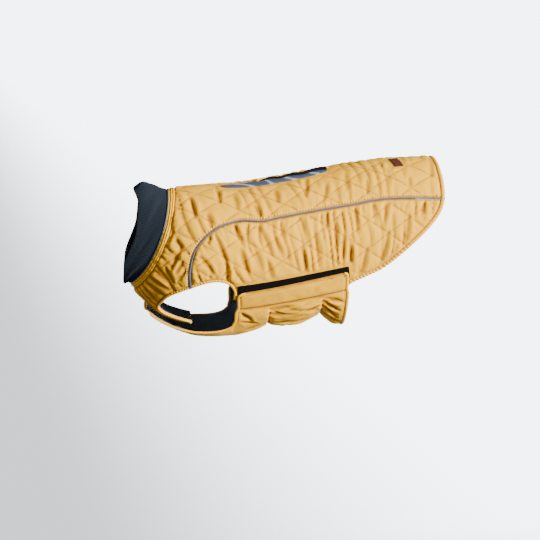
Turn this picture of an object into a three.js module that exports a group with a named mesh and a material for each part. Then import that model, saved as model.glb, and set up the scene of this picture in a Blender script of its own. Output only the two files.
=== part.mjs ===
// Dog winter coat: a quilted, padded coat in its worn, hollow form.
// Millimetres. +X runs to the tail, -Y is the wearer's left and +Z is up.
// The origin lies inside the coat at the top of the neck seam, where the wearer's back carries it.

import * as THREE from 'three';

// Driving dimensions
const PADDED_WALL = 5;
const BELLY_WALL = 3.9;
const RIB_WALL = 4;
const SEAM_GAP = 0.3;

const QUILT = { alongPitch: 88, girthPitch: 60, startLength: 443, startGirth: -196, cells: 3, puff: 3.2 };
const PUFF_MARGIN = 12;
const EDGE_STEP = 12;
const INSIDE_STEP = 24;
const LEG_STEP = 8;
const PATCH_STEP = { large: 12, small: 10 };

const BAND_WIDTH = 12;
const BAND_FRAMES = 48;
const BAND_PROFILE = [
  { across: -5.5, up: -4.6 },
  { across: 5.5, up: -4.6 },
  { across: 5.5, up: -0.3 },
  { across: 3.6, up: 1.3 },
  { across: 1.1, up: -0.5 },
  { across: -1.6, up: 1.1 },
  { across: -5.5, up: 0 },
];
const COLLAR_RIBS = 96;
const RIB_HEIGHT = 1.1;
const COLLAR_ROWS = { outside: 4, inside: 2, ribsEachInside: 4 };
const PIPING_RADIUS = 1.7;
const PIPING_ROOM = PIPING_RADIUS + 0.6;
const PIPING_RUN = { front: 8, rear: 11, step: 11, centre: -0.2 };
const HEM_WIDTH = 9;
const HEM_ROLL = { halfHeight: 3, centre: -1.8, step: 15 };
const LEG_BINDING_WIDTH = 6;
const LEG_ROLL = { halfHeight: 2.6, gather: 0.5, centre: -1.6, step: 7, sides: 5 };
const BELLY_BINDING_WIDTH = 6.4;
const BELLY_ROLL = { halfHeight: 2, centre: 4.4, step: 14 };
const ROLL_SIDES = 6;
const ROLL_FULLNESS = { across: 1.06, up: 1.1 };
const ROLL_TRIM = 0.25;
const WING_ROOM = 1.8;
const TAPE_LIFT = { low: 0.5, high: 1.8 };
const WELT_LIFT = { low: 0.5, high: 2.2 };
const ZIP_LIFT = { low: 0.5, high: 1.2 };
const LABEL_LIFT = { low: 0.5, high: 2.1 };
const BELLY_LIFT = 6;

// Sections of the body, each in its own leaning plane: the spine end, the belly end, the half width
const SECTIONS = [
  { topX: -40, topZ: -5, lowX: -100, lowZ: -165, halfWidth: 66 },
  { topX: 0, topZ: 5, lowX: -86, lowZ: -196, halfWidth: 77 },
  { topX: 40, topZ: 10, lowX: -60, lowZ: -228, halfWidth: 101 },
  { topX: 90, topZ: 12, lowX: -20, lowZ: -262, halfWidth: 119 },
  { topX: 150, topZ: 16, lowX: 60, lowZ: -286, halfWidth: 126 },
  { topX: 230, topZ: 28, lowX: 180, lowZ: -289, halfWidth: 128 },
  { topX: 320, topZ: 44, lowX: 300, lowZ: -279, halfWidth: 124 },
  { topX: 400, topZ: 56, lowX: 400, lowZ: -255, halfWidth: 118 },
  { topX: 480, topZ: 62, lowX: 480, lowZ: -229, halfWidth: 112 },
  { topX: 570, topZ: 62, lowX: 570, lowZ: -207, halfWidth: 102 },
];
const SHOULDER_FULLNESS = 0.12;
const CHART_STEP = { station: 10, angle: 4 };
const CHART_START_LENGTH = 320;

// The collar's free rim, measured like a section
const RIM = { topX: -72, topZ: 18, lowX: -96, lowZ: -192, halfWidth: 71 };
const NAPE_CREST = 6;

// The neck seam leans back over the shoulders: station at the spine and extra at the side
const NECK_SEAM = { station: -8, sideLean: 21, room: 0.6 };
const BACK_NECKLINE = { halfTurn: 112, step: 7 };
const CHEST_NECKLINE = { start: 100, end: 260, step: 8 };

// Half of the flat pattern: length along the body and girth from the spine
const HEM_EDGE = [
  { length: 372, girth: 304 },
  { length: 378, girth: 299 },
  { length: 408, girth: 288 },
  { length: 444, girth: 272 },
  { length: 478, girth: 245 },
  { length: 511, girth: 212 },
  { length: 536, girth: 182 },
  { length: 552, girth: 156 },
  { length: 559, girth: 129 },
  { length: 557, girth: 92 },
  { length: 553, girth: 58 },
  { length: 550, girth: 20 },
  { length: 550, girth: 0 },
];
const PIPING_LINE = [
  { length: 43, girth: 277 },
  { length: 39, girth: 247 },
  { length: 40, girth: 218 },
  { length: 46, girth: 189 },
  { length: 61, girth: 165 },
  { length: 78, girth: 149 },
  { length: 98, girth: 137 },
  { length: 134, girth: 129 },
  { length: 178, girth: 136 },
  { length: 214, girth: 134 },
  { length: 265, girth: 132 },
  { length: 307, girth: 131 },
  { length: 363, girth: 130 },
  { length: 421, girth: 126 },
  { length: 505, girth: 128 },
  { length: 559, girth: 127 },
];
const FLANK_EDGE = [
  { length: 134, girth: 305 },
  { length: 372, girth: 304 },
];

// The leg hole's edge from its rear top corner, round the front, and back along the chest tongue
const LEG_EDGE = [
  { station: 174, angle: 117 },
  { station: 171, angle: 110 },
  { station: 160, angle: 104 },
  { station: 145, angle: 102 },
  { station: 132, angle: 103 },
  { station: 120, angle: 106 },
  { station: 106, angle: 111 },
  { station: 89, angle: 119 },
  { station: 77, angle: 127 },
  { station: 71, angle: 138 },
  { station: 69, angle: 150 },
  { station: 75, angle: 156 },
  { station: 90, angle: 158 },
  { station: 108, angle: 158 },
  { station: 130, angle: 158 },
];
const CHEST_SEAM = [
  { station: 22, angle: 106 },
  { station: 50, angle: 111 },
  { station: 90, angle: 121 },
];
const TONGUE_END = 130;
const TONGUE_HALF_WIDTH = 30;
// The back panel ends at the front of the leg hole and the side panel begins behind it
const LEG_PARTS = { backPanelEnd: 60, sidePanelStart: 20 };
const CHEST_SCALE = { station: 0.85, girth: 95 };
const CHEST_GATHERS = { count: 16, halfTurn: 76, depth: 2.6, rise: 0.4, fadeStart: 20, fadeReach: 45 };

// Fastening and belly panel
const LOOP_TAPE = [
  { length: 136, girth: 273 },
  { length: 364, girth: 257 },
  { length: 370, girth: 284 },
  { length: 361, girth: 295 },
  { length: 141, girth: 302 },
];
const WING_BAND = [
  { length: 136, girth: 290 },
  { length: 365, girth: 269 },
  { length: 369, girth: 312 },
  { length: 141, girth: 331 },
];
const BELLY_SECTIONS = [
  { x: -62, low: -238, depth: 60, reach: 24 },
  { x: -50, low: -249, depth: 60, reach: 34 },
  { x: -39, low: -258, depth: 60, reach: 43 },
  { x: -14, low: -272, depth: 75, reach: 56 },
  { x: 6, low: -282, depth: 92, reach: 64 },
  { x: 47, low: -294, depth: 107, reach: 72 },
  { x: 90, low: -297, depth: 124, reach: 75 },
  { x: 122, low: -295, depth: 155, reach: 82 },
  { x: 143, low: -291, depth: 151, reach: 200 },
  { x: 170, low: -280, depth: 140, reach: 200 },
  { x: 190, low: -270, depth: 130, reach: 200 },
  { x: 206, low: -276, depth: 136, reach: 200 },
  { x: 241, low: -274, depth: 134, reach: 200 },
  { x: 273, low: -265, depth: 125, reach: 200 },
  { x: 300, low: -252, depth: 112, reach: 200 },
  { x: 322, low: -265, depth: 125, reach: 200 },
  { x: 342, low: -276, depth: 136, reach: 200 },
  { x: 372, low: -280, depth: 140, reach: 200 },
];
const STRAP_HALF_WIDTH = 116;
const BELLY_FRONT_X = 119;
const BELLY_REAR_X = 356;
const STRAP_TIP_X = -58;
const STRAP_CORNER = [{ ahead: -9, reach: 80 }, { ahead: 0, reach: 93 }, { ahead: 1, reach: 108 }];
const STRAP_CURVE_END = 100;
const ELASTICS = [{ x: 190 }, { x: 300 }];
const ELASTIC_DENT = { depth: 3.4, width: 6 };
const ELASTIC_FAN = { depth: 1.4, pitch: 30, reach: 30 };
const BELLY_PUFF = { middle: 3, ends: 1.5, topGirth: 178, topFade: 16 };
const BELLY_GRID = { x: 11, girth: 13, insideGirth: 20 };

// Harness opening and label, near the spine on the left
const WELT_LOW_EDGE = [
  { length: 98, girth: 17 },
  { length: 108, girth: 28 },
  { length: 154, girth: 36 },
  { length: 195, girth: 39 },
  { length: 262, girth: 38 },
  { length: 290, girth: 36 },
  { length: 319, girth: 28 },
];
const WELT_TOP_EDGE = [
  { length: 98, girth: 14 },
  { length: 150, girth: 11 },
  { length: 180, girth: 15 },
  { length: 204, girth: 14 },
  { length: 221, girth: 21 },
  { length: 242, girth: 17 },
  { length: 270, girth: 23 },
  { length: 297, girth: 16 },
  { length: 319, girth: 22 },
];
const ZIP_TOP_EDGE = [
  { length: 176, girth: 12 },
  { length: 202, girth: 5 },
  { length: 221, girth: 13 },
  { length: 242, girth: 8 },
  { length: 270, girth: 14 },
  { length: 297, girth: 6 },
  { length: 319, girth: 12 },
];
const ZIP_START = 170;
const LABEL = [
  { length: 451, girth: 10 },
  { length: 469, girth: 9 },
  { length: 476, girth: 47 },
  { length: 458, girth: 48 },
];

// The largest folds: place of the middle, half length, half width, depth, lean from the girth line
const SIDE_FOLDS = [
  { length: 371, girth: 156, reach: 26, width: 8, depth: 2.6, lean: 1 },
  { length: 356, girth: 176, reach: 32, width: 8, depth: 3.0, lean: 2 },
  { length: 365, girth: 232, reach: 30, width: 7, depth: 4.2, lean: 8 },
  { length: 406, girth: 197, reach: 34, width: 9, depth: 3.2, lean: 4 },
  { length: 437, girth: 160, reach: 24, width: 8, depth: 2.8, lean: 4 },
  { length: 438, girth: 217, reach: 28, width: 8, depth: 4.0, lean: 1 },
  { length: 399, girth: 256, reach: 26, width: 7, depth: 3.2, lean: 0 },
  { length: 485, girth: 189, reach: 30, width: 9, depth: 2.6, lean: 6 },
  { length: 334, girth: 188, reach: 34, width: 9, depth: 2.8, lean: 3 },
  { length: 263, girth: 171, reach: 40, width: 9, depth: 2.8, lean: 21 },
  { length: 213, girth: 160, reach: 34, width: 9, depth: 2.8, lean: 26 },
  { length: 160, girth: 168, reach: 32, width: 8, depth: 2.8, lean: 27 },
  { length: 132, girth: 176, reach: 34, width: 8, depth: 2.8, lean: 17 },
  { length: 144, girth: 210, reach: 30, width: 8, depth: 3.0, lean: 17 },
  { length: 197, girth: 242, reach: 24, width: 8, depth: 2.6, lean: 16 },
];
const BACK_FOLDS = [
  { length: 92, girth: 96, reach: 30, width: 9, depth: 3.0, lean: 14 },
  { length: 60, girth: 110, reach: 34, width: 9, depth: 3.0, lean: 10 },
  { length: 128, girth: 74, reach: 28, width: 9, depth: 2.6, lean: 16 },
  { length: 172, girth: 88, reach: 28, width: 9, depth: 2.6, lean: 18 },
  { length: 232, girth: 90, reach: 28, width: 9, depth: 2.4, lean: 14 },
  { length: 352, girth: 60, reach: 26, width: 9, depth: 2.2, lean: 4 },
  { length: 420, girth: 84, reach: 26, width: 9, depth: 2.2, lean: 2 },
  { length: 12, girth: 256, reach: 24, width: 7, depth: 4.0, lean: 60 },
  { length: 6, girth: 226, reach: 26, width: 8, depth: 3.4, lean: 40 },
  { length: -8, girth: 190, reach: 30, width: 8, depth: 3.0, lean: 30 },
];

// What lies flat on a panel keeps the quilting under it flat
const CALM_UNDER_WING = { start: 112, end: 392, girth: 266, rise: 0.07 };
const CALM_ZONES = [
  { start: 80, end: 336, left: -56, right: 12 },
  { start: 434, end: 494, left: -64, right: 8 },
];

const degrees = THREE.MathUtils.degToRad;

// Smooth value of one column of a table, by its key column
function column(rows, key, name, at) {
  let i = 0;
  while (i < rows.length - 2 && at > rows[i + 1][key]) i += 1;
  const slope = (k) => {
    const a = rows[Math.max(0, k - 1)];
    const b = rows[Math.min(rows.length - 1, k + 1)];
    return (b[name] - a[name]) / (b[key] - a[key]);
  };
  const [p, q] = [rows[i], rows[i + 1]];
  const h = q[key] - p[key];
  const t = (at - p[key]) / h;
  const [t2, t3] = [t * t, t * t * t];
  return (2 * t3 - 3 * t2 + 1) * p[name] + (t3 - 2 * t2 + t) * h * slope(i)
    + (3 * t2 - 2 * t3) * q[name] + (t3 - t2) * h * slope(i + 1);
}

function ringPoint(ring, angle) {
  const c = Math.cos(angle);
  const s = Math.sin(angle);
  return new THREE.Vector3(
    (ring.topX + ring.lowX) / 2 + ((ring.topX - ring.lowX) / 2) * c,
    ring.halfWidth * s * (1 + SHOULDER_FULLNESS * c),
    (ring.topZ + ring.lowZ) / 2 + ((ring.topZ - ring.lowZ) / 2) * c,
  );
}

// A point of the outer face of the body. The angle is 0 at the spine and negative on the left
function bodyPoint(station, angle) {
  const ring = { topX: station };
  for (const name of ['topZ', 'lowX', 'lowZ', 'halfWidth']) {
    ring[name] = column(SECTIONS, 'topX', name, station);
  }
  return ringPoint(ring, angle);
}

function normalOf(surface, a, b, stepA, stepB) {
  const along = surface(a + stepA, b).sub(surface(a - stepA, b));
  const round = surface(a, b + stepB).sub(surface(a, b - stepB));
  return along.cross(round).normalize();
}

function bodyNormal(station, angle) {
  return normalOf(bodyPoint, station, angle, 0.5, 0.005);
}

// The chart of the flat pattern: length along the body and girth from the spine, at each grid place
function makeChart() {
  const stations = [];
  for (let s = SECTIONS[0].topX; s <= SECTIONS.at(-1).topX; s += CHART_STEP.station) stations.push(s);
  const angles = [];
  for (let a = 0; a <= 180; a += CHART_STEP.angle) angles.push(degrees(a));
  const points = stations.map((s) => angles.map((a) => bodyPoint(s, a)));
  const girth = points.map((row) => {
    const sums = [0];
    for (let j = 1; j < row.length; j += 1) sums.push(sums[j - 1] + row[j].distanceTo(row[j - 1]));
    return sums;
  });
  const length = [angles.map(() => 0)];
  for (let i = 1; i < stations.length; i += 1) {
    length.push(angles.map((_, j) => length[i - 1][j] + points[i][j].distanceTo(points[i - 1][j])));
  }
  const start = stations.indexOf(CHART_START_LENGTH);
  const shift = angles.map((_, j) => CHART_START_LENGTH - length[start][j]);
  for (const row of length) row.forEach((_, j) => { row[j] += shift[j]; });
  return { stations, angles, girth, length };
}
const CHART = makeChart();

function chartValue(grid, station, angle) {
  const { stations, angles } = CHART;
  const fi = (station - stations[0]) / CHART_STEP.station;
  const fj = Math.abs(angle) / degrees(CHART_STEP.angle);
  const i = THREE.MathUtils.clamp(Math.floor(fi), 0, stations.length - 2);
  const j = THREE.MathUtils.clamp(Math.floor(fj), 0, angles.length - 2);
  const [a, b] = [fi - i, fj - j];
  return (1 - a) * (1 - b) * grid[i][j] + a * (1 - b) * grid[i + 1][j]
    + (1 - a) * b * grid[i][j + 1] + a * b * grid[i + 1][j + 1];
}

function toFlat({ station, angle }) {
  const side = angle < 0 ? -1 : 1;
  return new THREE.Vector2(
    chartValue(CHART.length, station, angle),
    side * chartValue(CHART.girth, station, angle),
  );
}

function angleAt(station, girth) {
  let [low, high] = [0, Math.PI];
  for (let k = 0; k < 22; k += 1) {
    const middle = (low + high) / 2;
    if (chartValue(CHART.girth, station, middle) < girth) low = middle;
    else high = middle;
  }
  return (low + high) / 2;
}

function fromFlat(length, girth) {
  let station = length;
  let angle = 0;
  for (let k = 0; k < 30; k += 1) {
    angle = angleAt(station, Math.abs(girth));
    const miss = length - chartValue(CHART.length, station, angle);
    station += 0.8 * miss;
    if (Math.abs(miss) < 0.001) break;
  }
  return { station, angle: girth < 0 ? -angle : angle };
}

// A surface gives the point and the outward normal at a place of its own flat pattern
function bodySurface(length, girth) {
  const { station, angle } = fromFlat(length, girth);
  return { point: bodyPoint(station, angle), normal: bodyNormal(station, angle) };
}

// Flat curves
function flatCurve(rows, side = -1) {
  return rows.map((row) => new THREE.Vector2(row.length, side * row.girth));
}

function resample(path, step) {
  const curve = new THREE.SplineCurve(path);
  const count = Math.max(1, Math.round(curve.getLength() / step));
  return curve.getSpacedPoints(count);
}

function straightResample(path, step) {
  const points = [path[0]];
  for (let i = 1; i < path.length; i += 1) {
    const count = Math.max(1, Math.round(path[i].distanceTo(path[i - 1]) / step));
    for (let k = 1; k <= count; k += 1) points.push(path[i - 1].clone().lerp(path[i], k / count));
  }
  return points;
}

function offset(path, distance) {
  return path.map((point, i) => {
    const along = path[Math.min(path.length - 1, i + 1)].clone().sub(path[Math.max(0, i - 1)]).normalize();
    return point.clone().add(new THREE.Vector2(-along.y, along.x).multiplyScalar(distance));
  });
}

function lengthened(path, by) {
  const start = path[0].clone().sub(path[1]).setLength(by).add(path[0]);
  const end = path.at(-1).clone().sub(path.at(-2)).setLength(by).add(path.at(-1));
  return [start, ...path, end];
}

function crossingOf(a, b, c, d) {
  const r = b.clone().sub(a);
  const s = d.clone().sub(c);
  const scale = r.cross(s);
  if (Math.abs(scale) < 1e-9) return null;
  const t = c.clone().sub(a).cross(s) / scale;
  const u = c.clone().sub(a).cross(r) / scale;
  return t >= 0 && t <= 1 && u >= 0 && u <= 1 ? a.clone().addScaledVector(r, t) : null;
}

// Each curve runs on past its ends and is cut where it meets the next, which makes a closed outline
function outlineOf(curves, reach = 20) {
  const long = curves.map((curve) => lengthened(curve, reach));
  const cuts = long.map((curve, k) => {
    const next = long[(k + 1) % long.length];
    for (let i = curve.length - 2; i >= 0; i -= 1) {
      for (let j = 0; j < next.length - 1; j += 1) {
        const point = crossingOf(curve[i], curve[i + 1], next[j], next[j + 1]);
        if (point) return { point, leave: i, enter: j };
      }
    }
    throw new Error(`curves ${k} and ${k + 1} do not meet`);
  });
  const outline = [];
  long.forEach((curve, k) => {
    const before = cuts[(k + long.length - 1) % long.length];
    const after = cuts[k];
    const piece = [before.point, ...curve.slice(before.enter + 1, after.leave + 1), after.point];
    const kept = piece.filter((p, i) => i === 0 || p.distanceTo(piece[i - 1]) > 0.5);
    outline.push(...straightResample(kept, EDGE_STEP).slice(0, -1));
  });
  const clean = outline.filter((p, i) => p.distanceTo(outline[(i + 1) % outline.length]) > 1.5);
  return areaOf(clean) > 0 ? clean : clean.reverse();
}

function areaOf(outline) {
  return THREE.ShapeUtils.area(outline);
}

function isInside(point, outline) {
  let inside = false;
  for (let i = 0, j = outline.length - 1; i < outline.length; j = i, i += 1) {
    const [a, b] = [outline[i], outline[j]];
    if ((a.y > point.y) !== (b.y > point.y)
      && point.x < ((b.x - a.x) * (point.y - a.y)) / (b.y - a.y) + a.x) inside = !inside;
  }
  return inside;
}

function edgeDistance(point, outline) {
  let best = Infinity;
  for (let i = 0, j = outline.length - 1; i < outline.length; j = i, i += 1) {
    const edge = outline[i].clone().sub(outline[j]);
    const t = THREE.MathUtils.clamp(point.clone().sub(outline[j]).dot(edge) / edge.lengthSq(), 0, 1);
    best = Math.min(best, point.distanceTo(outline[j].clone().addScaledVector(edge, t)));
  }
  return best;
}

// Triangles over scattered points by the empty circle rule, kept where they lie in the outline
function triangulate(points, outline) {
  const nudge = 0.0007;
  const nudged = points.map((p, i) => new THREE.Vector2(
    p.x + nudge * Math.sin(12.9 * i),
    p.y + nudge * Math.cos(7.3 * i),
  ));
  const far = 9000;
  const frame = [new THREE.Vector2(-far, -far), new THREE.Vector2(far, -far), new THREE.Vector2(0, far)];
  const all = [...nudged, ...frame];
  const circleOf = (a, b, c) => {
    const [p, q, r] = [all[a], all[b], all[c]];
    const d = 2 * (p.x * (q.y - r.y) + q.x * (r.y - p.y) + r.x * (p.y - q.y));
    const x = (p.lengthSq() * (q.y - r.y) + q.lengthSq() * (r.y - p.y) + r.lengthSq() * (p.y - q.y)) / d;
    const y = (p.lengthSq() * (r.x - q.x) + q.lengthSq() * (p.x - r.x) + r.lengthSq() * (q.x - p.x)) / d;
    return { corners: [a, b, c], x, y, radius2: (p.x - x) ** 2 + (p.y - y) ** 2 };
  };
  const n = points.length;
  let triangles = [circleOf(n, n + 1, n + 2)];
  for (let i = 0; i < n; i += 1) {
    const { x, y } = all[i];
    const open = triangles.filter((t) => (t.x - x) ** 2 + (t.y - y) ** 2 < t.radius2);
    const rim = new Map();
    for (const { corners } of open) {
      for (let k = 0; k < 3; k += 1) {
        const [a, b] = [corners[k], corners[(k + 1) % 3]];
        if (rim.has(`${b} ${a}`)) rim.delete(`${b} ${a}`);
        else rim.set(`${a} ${b}`, [a, b]);
      }
    }
    const gone = new Set(open);
    triangles = triangles.filter((t) => !gone.has(t));
    for (const [a, b] of rim.values()) triangles.push(circleOf(a, b, i));
  }
  return triangles
    .map((t) => t.corners)
    .filter((corners) => corners.every((k) => k < n))
    .filter((corners) => {
      const middle = corners.reduce((sum, k) => sum.add(points[k]), new THREE.Vector2()).divideScalar(3);
      return isInside(middle, outline);
    });
}

function solidOf(vertices, faces) {
  const volume = faces.reduce((sum, [a, b, c]) => (
    sum + vertices[a].dot(vertices[b].clone().cross(vertices[c]))), 0);
  const geometry = new THREE.BufferGeometry();
  geometry.setAttribute('position', new THREE.Float32BufferAttribute(vertices.flatMap((v) => v.toArray()), 3));
  geometry.setIndex(faces.flatMap(([a, b, c]) => (volume < 0 ? [a, c, b] : [a, b, c])));
  geometry.computeVertexNormals();
  return geometry;
}

// A cloth wall over a flat outline: relief on the outer face, a plain inner face and a closed edge
function wall({ outline, surface, high, thickness, relief, outerGrid, innerGrid }) {
  const face = (grid, height) => {
    const inner = grid.filter((p) => isInside(p, outline) && edgeDistance(p, outline) > 0.5 * EDGE_STEP);
    const flat = [...outline, ...inner];
    const points = flat.map((p, i) => {
      const { point, normal } = surface(p.x, p.y);
      const ramp = i < outline.length ? 0 : Math.min(1, edgeDistance(p, outline) / PUFF_MARGIN);
      return point.addScaledVector(normal, height(p, ramp));
    });
    return { points, faces: triangulate(flat, outline) };
  };
  const outer = face(outerGrid, (p, ramp) => high + (relief ? relief(p.x, p.y) * ramp : 0));
  const inner = face(innerGrid, () => high - thickness);
  const n = outer.points.length;
  const faces = [...outer.faces, ...inner.faces.map(([a, b, c]) => [c + n, b + n, a + n])];
  outline.forEach((_, i) => {
    const j = (i + 1) % outline.length;
    faces.push([j, i, i + n], [j, i + n, j + n]);
  });
  return solidOf([...outer.points, ...inner.points], faces);
}

function boxOf(outline) {
  return new THREE.Box2().setFromPoints(outline);
}

// Points parallel to the stitched lines, so the lines stay low and the diamonds rise between them
function quiltGrid(outline) {
  const { min, max } = boxOf(outline);
  const half = new THREE.Vector2(QUILT.alongPitch, QUILT.girthPitch).divideScalar(2 * QUILT.cells);
  const points = [];
  const reach = 140;
  for (let i = -reach; i <= reach; i += 1) {
    for (let j = -reach; j <= reach; j += 1) {
      const p = new THREE.Vector2(QUILT.startLength + half.x * (i + j), QUILT.startGirth + half.y * (i - j));
      if (p.x > min.x && p.x < max.x && p.y > min.y && p.y < max.y) points.push(p);
    }
  }
  return points;
}

function squareGrid(outline, stepX, stepY, startX = 0) {
  const { min, max } = boxOf(outline);
  const points = [];
  const first = startX + Math.ceil((min.x - startX) / stepX) * stepX;
  for (let x = first; x < max.x; x += stepX) {
    for (let y = Math.ceil(min.y / stepY) * stepY; y < max.y; y += stepY) points.push(new THREE.Vector2(x, y));
  }
  return points;
}

function puffAt(length, girth) {
  const along = (length - QUILT.startLength) / QUILT.alongPitch;
  const round = (girth - QUILT.startGirth) / QUILT.girthPitch;
  const rise = Math.abs(Math.sin(Math.PI * (along + round)) * Math.sin(Math.PI * (along - round)));
  return QUILT.puff * Math.sqrt(rise);
}

function foldAt(folds, length, girth) {
  return folds.reduce((sum, fold) => {
    const lean = degrees(fold.lean);
    const dl = length - fold.length;
    const dg = Math.abs(girth) - fold.girth;
    const along = dg * Math.cos(lean) + dl * Math.sin(lean);
    const across = dl * Math.cos(lean) - dg * Math.sin(lean);
    const fade = Math.exp(-((along / fold.reach) ** 4));
    return sum - fold.depth * fade * Math.exp(-((across / fold.width) ** 2));
  }, 0);
}

function calmAt(length, girth) {
  const { start, end, rise } = CALM_UNDER_WING;
  const underWing = length > start && length < end
    && Math.abs(girth) > CALM_UNDER_WING.girth - rise * length;
  const underPatch = CALM_ZONES.some((zone) => (
    length > zone.start && length < zone.end && girth > zone.left && girth < zone.right));
  return underWing || underPatch ? 0 : 1;
}

function quiltRelief(folds) {
  return (length, girth) => calmAt(length, girth) * (puffAt(length, girth) + foldAt(folds, length, girth));
}

// A solid swept along frames of a point, an across direction and an up direction
function sweep(frames, profileAt, closed = false) {
  const size = profileAt(0).length;
  const vertices = frames.flatMap((frame, i) => profileAt(i).map(([across, up]) => (
    frame.point.clone().addScaledVector(frame.across, across).addScaledVector(frame.up, up))));
  const faces = [];
  const last = closed ? frames.length : frames.length - 1;
  for (let i = 0; i < last; i += 1) {
    const next = (i + 1) % frames.length;
    for (let k = 0; k < size; k += 1) {
      const m = (k + 1) % size;
      const [a, b, c, d] = [i * size + k, i * size + m, next * size + m, next * size + k];
      faces.push([a, b, c], [a, c, d]);
    }
  }
  if (!closed) {
    const end = (frames.length - 1) * size;
    for (let k = 1; k < size - 1; k += 1) faces.push([0, k + 1, k], [end, end + k, end + k + 1]);
  }
  return solidOf(vertices, faces);
}

function framesOn(surface, path, closed = false) {
  const places = path.map((p) => surface(p.x, p.y));
  return places.map(({ point, normal }, i) => {
    const n = places.length;
    const before = places[closed ? (i + n - 1) % n : Math.max(0, i - 1)].point;
    const after = places[closed ? (i + 1) % n : Math.min(n - 1, i + 1)].point;
    const along = after.clone().sub(before).normalize();
    const across = normal.clone().cross(along).normalize();
    return { point, across, up: along.clone().cross(across).normalize() };
  });
}

function oval(halfWidth, halfHeight, centre, sides = ROLL_SIDES) {
  return Array.from({ length: sides }, (_, k) => {
    const a = (2 * Math.PI * (k + 0.5)) / sides;
    return [
      halfWidth * Math.cos(a) * ROLL_FULLNESS.across,
      centre + halfHeight * Math.sin(a) * ROLL_FULLNESS.up,
    ];
  });
}

// Flat outlines of the panels, drawn for the left side
const hemHalf = resample(flatCurve(HEM_EDGE), EDGE_STEP);
const pipingHalf = resample(flatCurve(PIPING_LINE), EDGE_STEP);
const onLeft = (row) => toFlat({ station: row.station, angle: -degrees(row.angle) });
const legHalf = resample(LEG_EDGE.map(onLeft), LEG_STEP);
const flankHalf = straightResample(flatCurve(FLANK_EDGE), EDGE_STEP);
const mirrored = (path) => path.map((p) => new THREE.Vector2(p.x, -p.y)).reverse();

function neckStation(angle, past) {
  return NECK_SEAM.station + NECK_SEAM.sideLean * Math.sin(angle) ** 2 + past;
}

const hemWhole = [...hemHalf, ...mirrored(hemHalf).slice(1)];
const neckline = [];
for (let a = BACK_NECKLINE.halfTurn; a >= -BACK_NECKLINE.halfTurn; a -= BACK_NECKLINE.step) {
  const angle = degrees(a);
  neckline.push(toFlat({ station: neckStation(angle, BAND_WIDTH + NECK_SEAM.room), angle }));
}
const chestSeamHalf = resample(CHEST_SEAM.map(onLeft), EDGE_STEP);
const legInset = LEG_BINDING_WIDTH + 2 * SEAM_GAP;
const frontLegPart = legHalf.filter((p) => p.x < LEG_PARTS.backPanelEnd);

const backOutline = outlineOf([
  neckline,
  offset(chestSeamHalf, SEAM_GAP),
  offset([...frontLegPart].reverse(), legInset + 2 * SEAM_GAP),
  offset(pipingHalf, PIPING_ROOM),
  offset(hemWhole, HEM_WIDTH + SEAM_GAP),
  offset(mirrored(pipingHalf), PIPING_ROOM),
  offset([...mirrored(frontLegPart)].reverse(), legInset + 2 * SEAM_GAP),
  offset(mirrored(chestSeamHalf), SEAM_GAP),
]);
const sideOutline = outlineOf([
  offset(pipingHalf, -PIPING_ROOM),
  offset([...hemHalf].reverse(), -HEM_WIDTH - SEAM_GAP),
  offset([...flankHalf].reverse(), 0),
  offset(legHalf.filter((p) => p.x > LEG_PARTS.sidePanelStart), -legInset),
]);

// The chest panel has a flat pattern of its own, centred on the middle of the chest
function chestFlat(row, side) {
  return new THREE.Vector2(
    CHEST_SCALE.station * row.station,
    side * CHEST_SCALE.girth * degrees(180 - row.angle),
  );
}
function chestSurface(x, y) {
  const station = x / CHEST_SCALE.station;
  const angle = Math.PI - y / CHEST_SCALE.girth;
  return { point: bodyPoint(station, -angle), normal: bodyNormal(station, -angle) };
}
const chestNeck = [];
for (let a = CHEST_NECKLINE.start; a <= CHEST_NECKLINE.end; a += CHEST_NECKLINE.step) {
  const station = neckStation(degrees(a), BAND_WIDTH + NECK_SEAM.room);
  chestNeck.push(chestFlat({ station, angle: a }, 1));
}
const chestSeam = CHEST_SEAM.map((row) => chestFlat(row, 1));
const chestLegStart = 6;
const chestLeg = resample(
  LEG_EDGE.slice(chestLegStart).map((row) => chestFlat(row, 1)),
  EDGE_STEP / 2,
);
const tongueX = CHEST_SCALE.station * TONGUE_END;
const mirroredY = (path) => path.map((p) => new THREE.Vector2(p.x, -p.y));
const chestOutline = outlineOf([
  chestNeck,
  offset(mirroredY(chestSeam), SEAM_GAP),
  offset(mirroredY(chestLeg), legInset),
  [new THREE.Vector2(tongueX, -TONGUE_HALF_WIDTH), new THREE.Vector2(tongueX, TONGUE_HALF_WIDTH)],
  offset([...chestLeg].reverse(), legInset),
  offset([...chestSeam].reverse(), SEAM_GAP),
]);
function chestRelief(x, y) {
  const { count, halfTurn, depth, rise, fadeStart, fadeReach } = CHEST_GATHERS;
  const pitch = (2 * CHEST_SCALE.girth * degrees(halfTurn)) / count;
  const fade = Math.exp(-((x - fadeStart) / fadeReach));
  return depth * (Math.cos((2 * Math.PI * y) / pitch) * fade + rise);
}

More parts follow.
